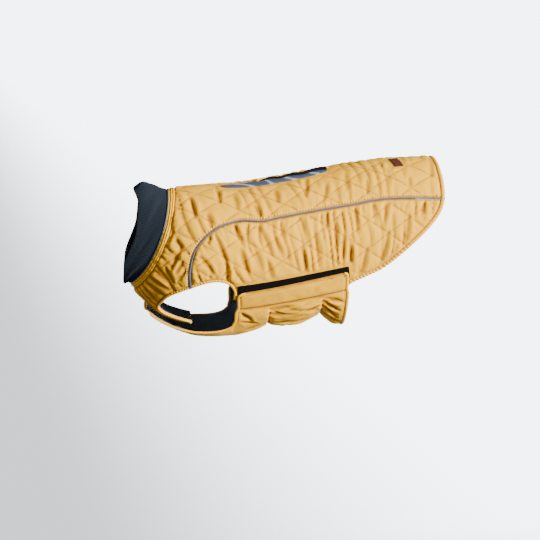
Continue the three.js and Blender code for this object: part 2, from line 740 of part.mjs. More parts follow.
// The belly panel hangs from its two wings: a half ellipse at each x, shallow in the front strap
const wingSeamParts = 24;
const wingSeamTable = Array.from({ length: wingSeamParts + 1 }, (_, k) => {
  const [front, rear] = [WING_BAND[3], WING_BAND[2]];
  const t = k / wingSeamParts;
  const length = THREE.MathUtils.lerp(front.length, rear.length, t);
  const girth = THREE.MathUtils.lerp(front.girth, rear.girth, t);
  const { point } = bodySurface(length, girth);
  return { x: point.x, y: point.y, z: point.z };
});
function bellySection(x) {
  const low = column(BELLY_SECTIONS, 'x', 'low', x);
  const depth = column(BELLY_SECTIONS, 'x', 'depth', x);
  const middle = low + depth;
  if (x < BELLY_FRONT_X - 1) return { depth, middle, halfWidth: STRAP_HALF_WIDTH };
  const at = Math.max(x, wingSeamTable[0].x);
  const top = Math.acos((middle - column(wingSeamTable, 'x', 'z', at)) / depth);
  return { depth, middle, top, halfWidth: column(wingSeamTable, 'x', 'y', at) / Math.sin(top) };
}
function bellyArc({ depth, halfWidth }, until) {
  const step = degrees(1);
  let [angle, length] = [0, 0];
  while (!until(angle, length) && angle < degrees(120)) {
    angle += step;
    const middle = angle - step / 2;
    length += step * Math.hypot(halfWidth * Math.cos(middle), depth * Math.sin(middle));
  }
  return { angle, length, step, rate: Math.hypot(halfWidth * Math.cos(angle), depth * Math.sin(angle)) };
}
function bellyTopGirth(x) {
  const section = bellySection(x);
  const arc = bellyArc(section, (angle) => angle >= section.top);
  return arc.length - (arc.angle - section.top) * arc.rate;
}
function bellyPoint(x, girth) {
  const section = bellySection(x);
  const arc = bellyArc(section, (_, length) => length >= Math.abs(girth));
  const angle = Math.sign(girth) * (arc.angle - (arc.length - Math.abs(girth)) / arc.rate);
  return new THREE.Vector3(
    x,
    section.halfWidth * Math.sin(angle),
    section.middle - section.depth * Math.cos(angle),
  );
}
function bellySurface(x, girth) {
  return { point: bellyPoint(x, girth), normal: normalOf(bellyPoint, x, girth, 1, 1).negate() };
}

const wingSeamStart = BELLY_FRONT_X + 4;
const strapEdge = resample([
  ...BELLY_SECTIONS.filter((row) => row.x > STRAP_TIP_X && row.x < STRAP_CURVE_END),
  ...STRAP_CORNER.map((row) => ({ x: BELLY_FRONT_X + row.ahead, reach: row.reach })),
  { x: BELLY_FRONT_X + 2, reach: bellyTopGirth(wingSeamStart) },
].map((row) => new THREE.Vector2(row.x, row.reach)), EDGE_STEP);
const wingSeam = [];
for (let x = wingSeamStart; x < BELLY_REAR_X; x += EDGE_STEP) {
  wingSeam.push(new THREE.Vector2(x, bellyTopGirth(x)));
}
const rearReach = bellyTopGirth(BELLY_REAR_X);
const rearEdge = straightResample([
  new THREE.Vector2(BELLY_REAR_X, -rearReach),
  new THREE.Vector2(BELLY_REAR_X, rearReach),
], EDGE_STEP);
const bellyInset = BELLY_BINDING_WIDTH + 5 * SEAM_GAP;
const tipHalf = BELLY_SECTIONS[0].reach;
const bellyOutline = outlineOf([
  [new THREE.Vector2(STRAP_TIP_X, tipHalf), new THREE.Vector2(STRAP_TIP_X, -tipHalf)],
  offset(mirroredY(strapEdge), bellyInset),
  offset(mirroredY(wingSeam), WING_ROOM),
  offset(rearEdge, bellyInset),
  offset([...wingSeam].reverse(), WING_ROOM),
  offset([...strapEdge].reverse(), bellyInset),
]);

function bellyRelief(x, girth) {
  if (x < BELLY_FRONT_X) return 0;
  const below = THREE.MathUtils.smoothstep(BELLY_PUFF.topGirth - Math.abs(girth), 0, BELLY_PUFF.topFade);
  const [first, second] = ELASTICS;
  const nearest = Math.min(...ELASTICS.map((e) => Math.abs(x - e.x)));
  const dent = ELASTIC_DENT.depth * Math.exp(-((nearest / ELASTIC_DENT.width) ** 2));
  const inMiddle = x > first.x && x < second.x;
  const arch = Math.sin((Math.PI * (x - first.x)) / (second.x - first.x));
  const bulge = inMiddle ? BELLY_PUFF.middle * arch : BELLY_PUFF.ends;
  const wave = Math.cos((2 * Math.PI * girth) / ELASTIC_FAN.pitch);
  const fan = ELASTIC_FAN.depth * wave * Math.exp(-nearest / ELASTIC_FAN.reach);
  return below * (bulge - dent + fan);
}

// The collar: a rib knit tube from the neck seam to its free rim
function collarPoint(rise, angle) {
  const seam = bodyPoint(neckStation(angle, -SEAM_GAP), angle);
  const rim = ringPoint(RIM, angle);
  const nape = Math.max(0, Math.cos(angle)) ** 2;
  const out = new THREE.Vector3(0, Math.sin(angle), Math.cos(angle));
  return seam.lerp(rim, rise).addScaledVector(out, NAPE_CREST * nape * Math.sin(Math.PI * rise * rise));
}
function ribbedTube(count, rows, insideRows) {
  const each = COLLAR_ROWS.ribsEachInside;
  const insideCount = count / each;
  const vertices = [];
  const ring = (size, rise, height) => {
    const start = vertices.length;
    for (let i = 0; i < size; i += 1) {
      const angle = (2 * Math.PI * i) / size;
      const normal = normalOf(collarPoint, rise, angle, 0.01, 0.005).negate();
      vertices.push(collarPoint(rise, angle).addScaledVector(normal, height(i)));
    }
    return Array.from({ length: size + 1 }, (_, i) => start + (i % size));
  };
  const outer = Array.from({ length: rows + 1 }, (_, j) => (
    ring(count, j / rows, (i) => (i % 2 ? -RIB_HEIGHT : 0))));
  const inner = Array.from({ length: insideRows + 1 }, (_, j) => (
    ring(insideCount, j / insideRows, () => -RIB_WALL)));
  const faces = [];
  const skin = (rings, turned) => {
    for (let j = 0; j < rings.length - 1; j += 1) {
      for (let i = 0; i < rings[j].length - 1; i += 1) {
        const [a, b, c, d] = [rings[j][i], rings[j][i + 1], rings[j + 1][i + 1], rings[j + 1][i]];
        faces.push(...(turned ? [[a, c, b], [a, d, c]] : [[a, b, c], [a, c, d]]));
      }
    }
  };
  const rim = (wide, narrow, turned) => {
    for (let i = 0; i < insideCount; i += 1) {
      const w = wide.slice(each * i, each * i + each + 1);
      const [p, q] = [narrow[i], narrow[i + 1]];
      const fan = [[w[0], w[1], p], [w[1], w[2], p], [w[2], q, p], [w[2], w[3], q], [w[3], w[4], q]];
      faces.push(...fan.map(([a, b, c]) => (turned ? [a, c, b] : [a, b, c])));
    }
  };
  skin(outer, false);
  skin(inner, true);
  rim(outer[0], inner[0], true);
  rim(outer.at(-1), inner.at(-1), false);
  return solidOf(vertices, faces);
}

function ringSurface(station, angle) {
  return { point: bodyPoint(station, angle), normal: bodyNormal(station, angle) };
}
function neckBand() {
  const path = Array.from({ length: BAND_FRAMES }, (_, i) => {
    const angle = (2 * Math.PI * i) / BAND_FRAMES;
    return new THREE.Vector2(neckStation(angle, BAND_WIDTH / 2 + 0.4), angle);
  });
  const profile = BAND_PROFILE.map((row) => [row.across, row.up]);
  return sweep(framesOn(ringSurface, path, true), () => profile, true);
}

// The path in even steps, a little short of both its ends
function trimmed(path, { front, rear, step }) {
  const fine = resample(path, 1);
  return fine.filter((_, i) => i >= front && i < fine.length - rear && (i - front) % step === 0);
}

// A closed flat outline through corner points, with a point at every step
function patchOutline(corners, side, step) {
  const points = flatCurve(corners, side);
  const outline = straightResample([...points, points[0]], step).slice(0, -1);
  return areaOf(outline) > 0 ? outline : outline.reverse();
}
function patch(corners, side, lift, step) {
  const outline = patchOutline(corners, side, step);
  const grid = squareGrid(outline, step, step);
  const thickness = lift.high - lift.low;
  return wall({
    outline, surface: bodySurface, high: lift.high, thickness, outerGrid: grid, innerGrid: grid,
  });
}

// The upright part of a belly panel binding, along one end of the wing band
function wingEnd(fromRow, toRow, inward, side) {
  const shift = inward * (BELLY_BINDING_WIDTH / 2);
  return framesOn(bodySurface, straightResample([fromRow, toRow].map((row) => (
    new THREE.Vector2(row.length + shift, side * row.girth))), BELLY_ROLL.step));
}

const colours = {
  mustard: new THREE.MeshStandardMaterial({ name: 'mustard shell', color: 0xcf9d45, roughness: 0.7 }),
  binding: new THREE.MeshStandardMaterial({ name: 'pale binding', color: 0xdcb268, roughness: 0.65 }),
  knit: new THREE.MeshStandardMaterial({ name: 'navy rib knit', color: 0x1d2832, roughness: 0.95 }),
  reflective: new THREE.MeshStandardMaterial({ name: 'reflective grey', color: 0x5d6778, roughness: 0.4 }),
  black: new THREE.MeshStandardMaterial({ name: 'black tape', color: 0x0b0b10, roughness: 0.9 }),
  leather: new THREE.MeshStandardMaterial({ name: 'brown leather', color: 0x4d231c, roughness: 0.55 }),
};

const coat = new THREE.Group();
function add(name, geometry, material) {
  const mesh = new THREE.Mesh(geometry, material);
  mesh.name = name;
  coat.add(mesh);
}

function quiltedPanel(outline, folds) {
  return wall({
    outline,
    surface: bodySurface,
    high: 0,
    thickness: PADDED_WALL,
    relief: quiltRelief(folds),
    outerGrid: quiltGrid(outline),
    innerGrid: squareGrid(outline, INSIDE_STEP, INSIDE_STEP),
  });
}

add('collar_rib', ribbedTube(2 * COLLAR_RIBS, COLLAR_ROWS.outside, COLLAR_ROWS.inside), colours.knit);
add('neck_band', neckBand(), colours.mustard);
add('back_panel', quiltedPanel(backOutline, BACK_FOLDS), colours.mustard);
add('chest_panel', wall({
  outline: chestOutline,
  surface: chestSurface,
  high: 0,
  thickness: PADDED_WALL,
  relief: chestRelief,
  outerGrid: squareGrid(chestOutline, 13, 5),
  innerGrid: squareGrid(chestOutline, 20, 20),
}), colours.mustard);
add('hem_binding', sweep(
  framesOn(bodySurface, straightResample(offset(hemWhole, HEM_WIDTH / 2), HEM_ROLL.step)),
  () => oval(HEM_WIDTH / 2 - ROLL_TRIM, HEM_ROLL.halfHeight, HEM_ROLL.centre),
), colours.binding);
add('belly_panel', wall({
  outline: bellyOutline,
  surface: bellySurface,
  high: BELLY_LIFT,
  thickness: BELLY_WALL,
  relief: bellyRelief,
  outerGrid: squareGrid(bellyOutline, BELLY_GRID.x, BELLY_GRID.girth, ELASTICS[0].x),
  innerGrid: squareGrid(bellyOutline, 2 * BELLY_GRID.x, BELLY_GRID.insideGirth, ELASTICS[0].x),
}), colours.mustard);

const [wingFrontTop, wingRearTop, wingRearLow, wingFrontLow] = WING_BAND;
const bellyRoll = () => oval(BELLY_BINDING_WIDTH / 2 - ROLL_TRIM, BELLY_ROLL.halfHeight, BELLY_ROLL.centre);
add('belly_rear_binding', sweep([
  ...wingEnd(wingRearTop, wingRearLow, -1, -1).slice(0, -1),
  ...framesOn(bellySurface, offset(rearEdge, BELLY_BINDING_WIDTH / 2)).slice(1, -1),
  ...wingEnd(wingRearLow, wingRearTop, -1, 1).slice(1),
], bellyRoll), colours.binding);

for (const [name, side] of [['left', -1], ['right', 1]]) {
  const turn = (path) => path.map((p) => new THREE.Vector2(p.x, -side * p.y));
  const outline = side < 0 ? sideOutline : turn(sideOutline).reverse();
  add(`side_panel_${name}`, quiltedPanel(outline, SIDE_FOLDS), colours.mustard);
  add(`piping_${name}`, sweep(
    framesOn(bodySurface, turn(trimmed(pipingHalf, PIPING_RUN))),
    () => oval(PIPING_RADIUS, PIPING_RADIUS, PIPING_RUN.centre),
  ), colours.reflective);
  add(`leg_binding_${name}`, sweep(
    framesOn(bodySurface, turn(straightResample(offset(legHalf, -LEG_BINDING_WIDTH / 2), LEG_ROLL.step))),
    (i) => oval(
      LEG_BINDING_WIDTH / 2 - ROLL_TRIM,
      LEG_ROLL.halfHeight + LEG_ROLL.gather * (i % 2),
      LEG_ROLL.centre,
      LEG_ROLL.sides,
    ),
  ), colours.binding);
  add(`loop_tape_${name}`, patch(LOOP_TAPE, side, TAPE_LIFT, PATCH_STEP.large), colours.black);
  const inset = BELLY_BINDING_WIDTH + SEAM_GAP;
  const band = WING_BAND.map((row) => ({
    length: row.length + (row === wingFrontTop || row === wingFrontLow ? inset : -inset),
    girth: row.girth,
  }));
  const bandLift = { low: BELLY_LIFT - BELLY_WALL, high: BELLY_LIFT };
  add(`wing_band_${name}`, patch(band, side, bandLift, PATCH_STEP.large), colours.mustard);
  const edge = side < 0 ? mirroredY(strapEdge) : strapEdge;
  add(`belly_front_binding_${name}`, sweep([
    ...wingEnd(wingFrontTop, wingFrontLow, 1, side).slice(0, -1),
    ...framesOn(bellySurface, offset([...edge].reverse(), (side * BELLY_BINDING_WIDTH) / 2)).slice(1),
  ], bellyRoll), colours.binding);
}

const welt = [...WELT_LOW_EDGE, ...[...WELT_TOP_EDGE].reverse()];
add('harness_welt', patch(welt, -1, WELT_LIFT, PATCH_STEP.small), colours.reflective);
const zip = [
  ...WELT_TOP_EDGE.filter((row) => row.length > ZIP_START)
    .map((row) => ({ length: row.length, girth: row.girth - SEAM_GAP })),
  ...[...ZIP_TOP_EDGE].reverse(),
];
add('zip_tape', patch(zip, -1, ZIP_LIFT, PATCH_STEP.small), colours.black);
add('leather_label', patch(LABEL, -1, LABEL_LIFT, PATCH_STEP.small), colours.leather);

export default coat;
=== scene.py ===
# %% [markdown]
# # Dog winter coat
# A quilted, padded coat in its worn form: a rib knit collar, a back panel and two side panels
# joined by reflective piping, a gathered chest, a belly panel that closes on loop tape, and bound
# edges. The drafter's way is used here: each panel is drawn flat, in millimetres, and laid on one
# smooth body form.

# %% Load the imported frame
import math
import bpy
import numpy as np
from mathutils import Matrix, Vector
from mathutils.geometry import delaunay_2d_cdt


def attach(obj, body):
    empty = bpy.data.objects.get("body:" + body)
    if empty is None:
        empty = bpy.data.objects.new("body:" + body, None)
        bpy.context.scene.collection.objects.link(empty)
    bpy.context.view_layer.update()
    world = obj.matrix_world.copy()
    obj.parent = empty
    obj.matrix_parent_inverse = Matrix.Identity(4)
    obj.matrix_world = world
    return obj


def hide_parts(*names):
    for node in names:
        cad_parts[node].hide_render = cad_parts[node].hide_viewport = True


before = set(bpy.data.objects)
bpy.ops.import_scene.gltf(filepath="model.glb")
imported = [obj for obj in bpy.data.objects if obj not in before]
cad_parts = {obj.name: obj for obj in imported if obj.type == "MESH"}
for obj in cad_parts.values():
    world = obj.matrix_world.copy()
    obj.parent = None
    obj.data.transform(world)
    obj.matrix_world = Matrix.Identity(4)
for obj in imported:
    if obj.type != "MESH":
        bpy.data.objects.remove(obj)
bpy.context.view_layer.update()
print("CAD nodes:", len(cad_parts))

# %% [markdown]
# ## Camera
# A long lens keeps the coat's lines nearly parallel, as in a catalogue picture. The camera looks
# a little from the head end and from above. Its axes are worked out, which is exact.

# %% Make the camera
TURN, TILT, DISTANCE = math.radians(6.0), math.radians(14.0), 2.6
FOCAL_PIXELS, FRAME_PIXELS, SENSOR = 1262.136, 540, 36.0
right = Vector((math.cos(TURN), -math.sin(TURN), 0.0))
ahead = Vector((math.sin(TURN) * math.cos(TILT), math.cos(TURN) * math.cos(TILT), -math.sin(TILT)))
up = right.cross(ahead)
target = Vector((0.0, 0.0, 0.003)) + 0.202 * right - 0.165 * up
camera_data = bpy.data.cameras.new("camera")
camera_data.sensor_width = SENSOR
camera_data.lens = SENSOR * FOCAL_PIXELS / FRAME_PIXELS
camera = bpy.data.objects.new("camera", camera_data)
place = Matrix((right, up, -ahead)).transposed().to_4x4()
place.translation = target - DISTANCE * ahead
camera.matrix_world = place
bpy.context.scene.collection.objects.link(camera)
bpy.context.scene.camera = camera
print("lens:", round(camera_data.lens, 1), "mm")

# %% [markdown]
# ## Studio
# The coat hangs high over a wide paper floor. The paper is grey under the coat, so that it throws
# little light up. Far behind the coat the paper glows, brighter on the tail side: painted light that
# stands in for a lit studio backdrop. A strong low light on the tail side rakes along the folds, and a
# weak one comes from the head side.

# %% Build the floor, the sky and the lights
FLOOR_HEIGHT, FLOOR_SIZE = -1.3, 160
bpy.ops.object.select_all(action="DESELECT")
bpy.ops.mesh.primitive_plane_add(size=FLOOR_SIZE, location=(0, 0, FLOOR_HEIGHT))
floor = bpy.context.object
floor.name = "floor"
paper = bpy.data.materials.new("paper_with_painted_glow")
paper.use_nodes = True
paper_tree = paper.node_tree
paper_shader = paper_tree.nodes["Principled BSDF"]
paper_shader.inputs["Base Color"].default_value = (0.11, 0.115, 0.125, 1)
paper_shader.inputs["Roughness"].default_value = 0.95
paper_shader.inputs["Emission Color"].default_value = (0.90, 0.955, 1.0, 1)
where = paper_tree.nodes.new("ShaderNodeTexCoord")


def paper_ramp(low, high, start, end, direction):
    """A value that changes smoothly along one direction of the floor."""
    along = paper_tree.nodes.new("ShaderNodeVectorMath")
    along.operation = "DOT_PRODUCT"
    along.inputs[1].default_value = direction
    paper_tree.links.new(where.outputs["Object"], along.inputs[0])
    ramp = paper_tree.nodes.new("ShaderNodeMapRange")
    ramp.interpolation_type = "SMOOTHSTEP"
    for label, value in (("From Min", start), ("From Max", end), ("To Min", low), ("To Max", high)):
        ramp.inputs[label].default_value = value
    paper_tree.links.new(along.outputs["Value"], ramp.inputs["Value"])
    return ramp.outputs[0]


# Painted light: the far floor glows, brighter towards the tail side.
glow = paper_tree.nodes.new("ShaderNodeMath")
glow.operation = "MULTIPLY"
brighter_to_tail = paper_ramp(low=1.1, high=6.2, start=-0.1, end=1.5, direction=(1, 0.2, 0))
only_far_behind = paper_ramp(low=0, high=1, start=0.4, end=1.1, direction=(0, 1, 0))
paper_tree.links.new(brighter_to_tail, glow.inputs[0])
paper_tree.links.new(only_far_behind, glow.inputs[1])
paper_tree.links.new(glow.outputs[0], paper_shader.inputs["Emission Strength"])
floor.data.materials.append(paper)

world = bpy.data.worlds.new("studio")
bpy.context.scene.world = world
world.use_nodes = True
sky = world.node_tree.nodes["Background"]
sky.inputs["Color"].default_value = (0.93, 0.95, 1.0, 1)
sky.inputs["Strength"].default_value = 0.24


def soft_sun(name, toward, strength, spread):
    lamp = bpy.data.lights.new(name, "SUN")
    lamp.energy = strength
    lamp.angle = math.radians(spread)
    piece = bpy.data.objects.new(name, lamp)
    piece.rotation_mode = "QUATERNION"
    piece.rotation_quaternion = Vector(toward).to_track_quat("Z", "Y")
    bpy.context.scene.collection.objects.link(piece)


soft_sun("key_light", toward=(0.80, -0.66, 0.36), strength=12.5, spread=8)
soft_sun("fill_light", toward=(-0.5, -0.9, 0.6), strength=0.6, spread=60)
print("floor at", FLOOR_HEIGHT, "m")

# %% [markdown]
# ## Shader groups
# Three effects are shared by many finishes. Fine weave is two crossed sines on the flat pattern's
# own coordinates, so that it follows the cloth. Tone drift is slow noise, because dyed cloth is
# never one flat colour. Stitched diamonds draws the two families of quilting lines with their
# needle holes.


# %% Small node helpers
def new_group(name, inputs, outputs):
    group = bpy.data.node_groups.new(name, "ShaderNodeTree")
    for label, kind, value in inputs:
        socket = group.interface.new_socket(name=label, in_out="INPUT", socket_type=kind)
        if value is not None:
            socket.default_value = value
    for label in outputs:
        group.interface.new_socket(name=label, in_out="OUTPUT", socket_type="NodeSocketFloat")
    return group, group.nodes.new("NodeGroupInput"), group.nodes.new("NodeGroupOutput")


def calc(tree, operation, first, second=None, third=None):
    node = tree.nodes.new("ShaderNodeMath")
    node.operation = operation
    for socket, value in zip(node.inputs, (first, second, third)):
        if isinstance(value, (int, float)):
            socket.default_value = value
        elif value is not None:
            tree.links.new(value, socket)
    return node.outputs[0]


def parts_of(tree, vector):
    node = tree.nodes.new("ShaderNodeSeparateXYZ")
    tree.links.new(vector, node.inputs[0])
    return node.outputs


# %% Fine weave
weave_group, weave_in, weave_out = new_group(
    "fine_weave",
    [("Place", "NodeSocketVector", None), ("Threads per metre", "NodeSocketFloat", 900.0)],
    ["Height"],
)
x, y, _ = parts_of(weave_group, weave_in.outputs["Place"])
turns = calc(weave_group, "MULTIPLY", weave_in.outputs["Threads per metre"], 2 * math.pi)
warp = calc(weave_group, "SINE", calc(weave_group, "MULTIPLY", x, turns))
weft = calc(weave_group, "SINE", calc(weave_group, "MULTIPLY", y, turns))
both = calc(weave_group, "MULTIPLY", warp, weft)
weave_group.links.new(calc(weave_group, "MULTIPLY_ADD", both, 0.5, 0.5), weave_out.inputs["Height"])

# %% Tone drift
tone_group, tone_in, tone_out = new_group(
    "tone_drift",
    [("Place", "NodeSocketVector", None), ("Patch scale", "NodeSocketFloat", 18.0)],
    ["Tone", "Fleck"],
)
for label, factor in (("Tone", 1.0), ("Fleck", 55.0)):
    clouds = tone_group.nodes.new("ShaderNodeTexNoise")
    clouds.inputs["Detail"].default_value = 3.0
    tone_group.links.new(tone_in.outputs["Place"], clouds.inputs["Vector"])
    tone_group.links.new(calc(tone_group, "MULTIPLY", tone_in.outputs["Patch scale"], factor),
                         clouds.inputs["Scale"])
    tone_group.links.new(clouds.outputs["Fac"], tone_out.inputs[label])

# %% Stitched diamonds
QUILT_LENGTH, QUILT_GIRTH = 88.0, 60.0
QUILT_START = (443.0, -196.0)
quilt_group, quilt_in, quilt_out = new_group(
    "stitched_diamonds",
    [("Place", "NodeSocketVector", None), ("Line width", "NodeSocketFloat", 0.016),
     ("Holes per metre", "NodeSocketFloat", 380.0)],
    ["Line", "Hole"],
)
x, y, _ = parts_of(quilt_group, quilt_in.outputs["Place"])
u = calc(quilt_group, "MULTIPLY_ADD", x, 1000 / QUILT_LENGTH, -QUILT_START[0] / QUILT_LENGTH)
v = calc(quilt_group, "MULTIPLY_ADD", y, 1000 / QUILT_GIRTH, -QUILT_START[1] / QUILT_GIRTH)
lines = []
for operation in ("ADD", "SUBTRACT"):
    phase = calc(quilt_group, operation, u, v)
    off = calc(quilt_group, "ABSOLUTE", calc(quilt_group, "SUBTRACT", phase,
                                             calc(quilt_group, "ROUND", phase)))
    lines.append(calc(quilt_group, "SUBTRACT", 1.0, calc(
        quilt_group, "MINIMUM", 1.0, calc(quilt_group, "DIVIDE", off, quilt_in.outputs["Line width"]))))
line = calc(quilt_group, "MAXIMUM", *lines)
beat = calc(quilt_group, "SINE", calc(quilt_group, "MULTIPLY", calc(
    quilt_group, "MULTIPLY", x, quilt_in.outputs["Holes per metre"]), 2 * math.pi))
hole = calc(quilt_group, "MULTIPLY", line, calc(quilt_group, "GREATER_THAN", beat, 0.45))
quilt_group.links.new(line, quilt_out.inputs["Line"])
quilt_group.links.new(hole, quilt_out.inputs["Hole"])
print("groups:", [group.name for group in (weave_group, tone_group, quilt_group)])

# %% [markdown]
# ## Finishes
# Each finish is a colour that drifts, darkened by painted shade in folds, hollows and seams, and a height
# that drives one bump. The painted crease shade and the pale attribute (pale binding, and painted glints
# on the welt) are stored on the meshes, so they travel with the cloth.


# %% Material maker
def shaded(tree, base, mask, target_colour, amount):
    """Mix a colour towards another by a mask that changes over the surface."""
    mix = tree.nodes.new("ShaderNodeMix")
    mix.data_type = "RGBA"
    mix.inputs["B"].default_value = (*target_colour, 1)
    if isinstance(base, tuple):
        mix.inputs["A"].default_value = (*base, 1)
    else:
        tree.links.new(base, mix.inputs["A"])
    tree.links.new(calc(tree, "MULTIPLY", mask, amount), mix.inputs["Factor"])
    return mix.outputs["Result"]


def new_material(name, roughness, sheen=0.0, metallic=0.0, specular=0.15):
    material = bpy.data.materials.new(name)
    material.use_nodes = True
    tree = material.node_tree
    shader = tree.nodes["Principled BSDF"]
    shader.inputs["Roughness"].default_value = roughness
    shader.inputs["Metallic"].default_value = metallic
    shader.inputs["Sheen Weight"].default_value = sheen
    shader.inputs["Specular IOR Level"].default_value = specular
    shader.inputs["Sheen Roughness"].default_value = 0.5
    return material, tree, shader


def effect(tree, group, place, **values):
    node = tree.nodes.new("ShaderNodeGroup")
    node.node_tree = group
    tree.links.new(place, node.inputs["Place"])
    for label, value in values.items():
        node.inputs[label.replace("_", " ")].default_value = value
    return node.outputs


def places(tree):
    node = tree.nodes.new("ShaderNodeTexCoord")
    return node.outputs["UV"], node.outputs["Object"]


def stored(tree, name):
    node = tree.nodes.new("ShaderNodeAttribute")
    node.attribute_name = name
    return node.outputs["Fac"]


def bumped(tree, shader, height, distance, strength=1.0):
    bump = tree.nodes.new("ShaderNodeBump")
    bump.inputs["Distance"].default_value = distance
    bump.inputs["Strength"].default_value = strength
    tree.links.new(height, bump.inputs["Height"])
    tree.links.new(bump.outputs["Normal"], shader.inputs["Normal"])


# %% Woven shell cloth in mustard
MUSTARD = (0.88, 0.425, 0.004)
SHADED_MUSTARD = (0.24, 0.072, 0.001)
PALE_YELLOW = (0.92, 0.52, 0.07)


def shell_cloth(name, quilt_share):
    material, tree, shader = new_material(name, 0.74, sheen=0.01)
    flat, solid = places(tree)
    weave = effect(tree, weave_group, flat)["Height"]
    tone = effect(tree, tone_group, solid, Patch_scale=16.0)
    quilt = effect(tree, quilt_group, flat)
    colour = shaded(tree, MUSTARD, tone["Tone"], (0.91, 0.475, 0.012), 0.6)
    colour = shaded(tree, colour, tone["Fleck"], (0.66, 0.28, 0.002), 0.25)
    # Painted shade: the cloth darkens towards SHADED_MUSTARD in fold valleys, along seams and over the
    # shaded chest and shoulder.
    colour = shaded(tree, colour, stored(tree, "crease"), SHADED_MUSTARD, 0.8)
    # Painted shade along the stitched quilting lines, darker still in the needle holes.
    colour = shaded(tree, colour, quilt["Line"], (0.66, 0.29, 0.01), 0.6 * quilt_share)
    colour = shaded(tree, colour, quilt["Hole"], (0.26, 0.09, 0.004), 0.7 * quilt_share)
    tree.links.new(colour, shader.inputs["Base Color"])
    height = calc(tree, "MULTIPLY_ADD", quilt["Line"], -2.2 * quilt_share, weave)
    bumped(tree, shader, height, 0.00028)
    return material


shell = shell_cloth("mustard_quilted_shell", 1.0)
plain_shell = shell_cloth("mustard_plain_shell", 0.35)

# %% Linings, bindings and threads
LINING = (0.060, 0.078, 0.105)


def simple_cloth(name, colour, other, roughness, threads, sheen=0.01, depth=0.0002):
    material, tree, shader = new_material(name, roughness, sheen=sheen)
    flat, solid = places(tree)
    weave = effect(tree, weave_group, flat, Threads_per_metre=threads)["Height"]
    tone = effect(tree, tone_group, solid, Patch_scale=30.0)
    mixed = shaded(tree, colour, tone["Tone"], other, 0.7)
    mixed = shaded(tree, mixed, stored(tree, "pale"), PALE_YELLOW, 0.9)
    # Painted shade: the colour drops to 40 per cent where the stored crease shade is set.
    mixed = shaded(tree, mixed, stored(tree, "crease"), tuple(0.4 * c for c in colour), 0.8)
    tree.links.new(mixed, shader.inputs["Base Color"])
    bumped(tree, shader, weave, depth)
    return material


lining = simple_cloth("slate_lining", LINING, (0.080, 0.102, 0.135), 0.85, 700)
binding = simple_cloth("mustard_binding", (0.86, 0.41, 0.004), (0.91, 0.475, 0.012), 0.7, 1100)
thread = simple_cloth("pale_thread", (0.98, 0.64, 0.14), (0.95, 0.56, 0.08), 0.6, 2400)
dark_thread = simple_cloth("brown_thread", (0.17, 0.055, 0.008), (0.24, 0.08, 0.012), 0.7, 2400)
loop_fabric = simple_cloth("black_loop_tape", (0.0004, 0.0003, 0.0004), (0.0012, 0.0010, 0.0012), 1.0,
                           450, sheen=0.0, depth=0.0006)
zip_fabric = simple_cloth("black_zip_tape", (0.001, 0.0015, 0.003), (0.004, 0.005, 0.008), 0.7, 600)



# %% Rib knit, reflective tape and leather
def rib_knit():
    material, tree, shader = new_material("navy_rib_knit", 0.92, sheen=0.03)
    flat, solid = places(tree)
    loops = effect(tree, weave_group, flat, Threads_per_metre=520)["Height"]
    tone = effect(tree, tone_group, solid, Patch_scale=25.0)
    colour = shaded(tree, (0.0075, 0.0120, 0.0180), tone["Tone"], (0.012, 0.0185, 0.027), 0.8)
    # Painted shade in the grooves between the ribs.
    colour = shaded(tree, colour, stored(tree, "crease"), (0.003, 0.005, 0.009), 0.8)
    tree.links.new(colour, shader.inputs["Base Color"])
    bumped(tree, shader, loops, 0.0004)
    return material


def reflective_tape():
    material, tree, shader = new_material("reflective_grey_tape", 0.38, metallic=0.25)
    flat, solid = places(tree)
    grain = effect(tree, weave_group, flat, Threads_per_metre=1500)["Height"]
    tone = effect(tree, tone_group, solid, Patch_scale=40.0)
    # Painted glint: sharp bright diagonal streaks stand in for light caught by the reflective tape; they
    # show only where the pale attribute is 1, on the welt.
    glint_streak = tree.nodes.new("ShaderNodeTexWave")
    glint_streak.bands_direction = "DIAGONAL"
    glint_streak.inputs["Scale"].default_value = 13.0
    glint_streak.inputs["Distortion"].default_value = 3.0
    tree.links.new(flat, glint_streak.inputs["Vector"])
    painted_glint = calc(tree, "POWER", glint_streak.outputs["Fac"], 12.0)
    colour = shaded(tree, (0.065, 0.085, 0.135), tone["Tone"], (0.10, 0.13, 0.20), 0.8)
    colour = shaded(tree, colour, calc(tree, "MULTIPLY", painted_glint, stored(tree, "pale")),
                    (0.55, 0.60, 0.68), 0.9)
    tree.links.new(colour, shader.inputs["Base Color"])
    bumped(tree, shader, grain, 0.00012)
    return material


def brown_leather():
    material, tree, shader = new_material("brown_leather", 0.5)
    flat, solid = places(tree)
    pores = tree.nodes.new("ShaderNodeTexVoronoi")
    pores.inputs["Scale"].default_value = 900.0
    tree.links.new(solid, pores.inputs["Vector"])
    tone = effect(tree, tone_group, solid, Patch_scale=90.0)
    colour = shaded(tree, (0.060, 0.016, 0.010), tone["Tone"], (0.10, 0.030, 0.020), 0.8)
    tree.links.new(colour, shader.inputs["Base Color"])
    bumped(tree, shader, pores.outputs["Distance"], 0.0002)
    return material


knit, reflective, leather = rib_knit(), reflective_tape(), brown_leather()
print("finishes:", len(bpy.data.materials))

# %% [markdown]
# ## The body form
# The form is a row of leaning egg-shaped sections, the same as the source part uses. A chart
# holds, for each place on it, the length along the body and the girth from the spine. With it, a
# point of the flat pattern finds its place on the body, as when a cutter pins cloth on a stand.

# %% Sections of the body, in mm
# columns: top x, top z, low x, low z, half width
SECTIONS = np.array([
    (-40, -5, -100, -165, 66), (0, 5, -86, -196, 77), (40, 10, -60, -228, 101),
    (90, 12, -20, -262, 119), (150, 16, 60, -286, 126), (230, 28, 180, -289, 128),
    (320, 44, 300, -279, 124), (400, 56, 400, -255, 118), (480, 62, 480, -229, 112),
    (570, 62, 570, -207, 102)], float)
RIM = (-72, 18, -96, -192, 71)
SHOULDER_FULLNESS = 0.12


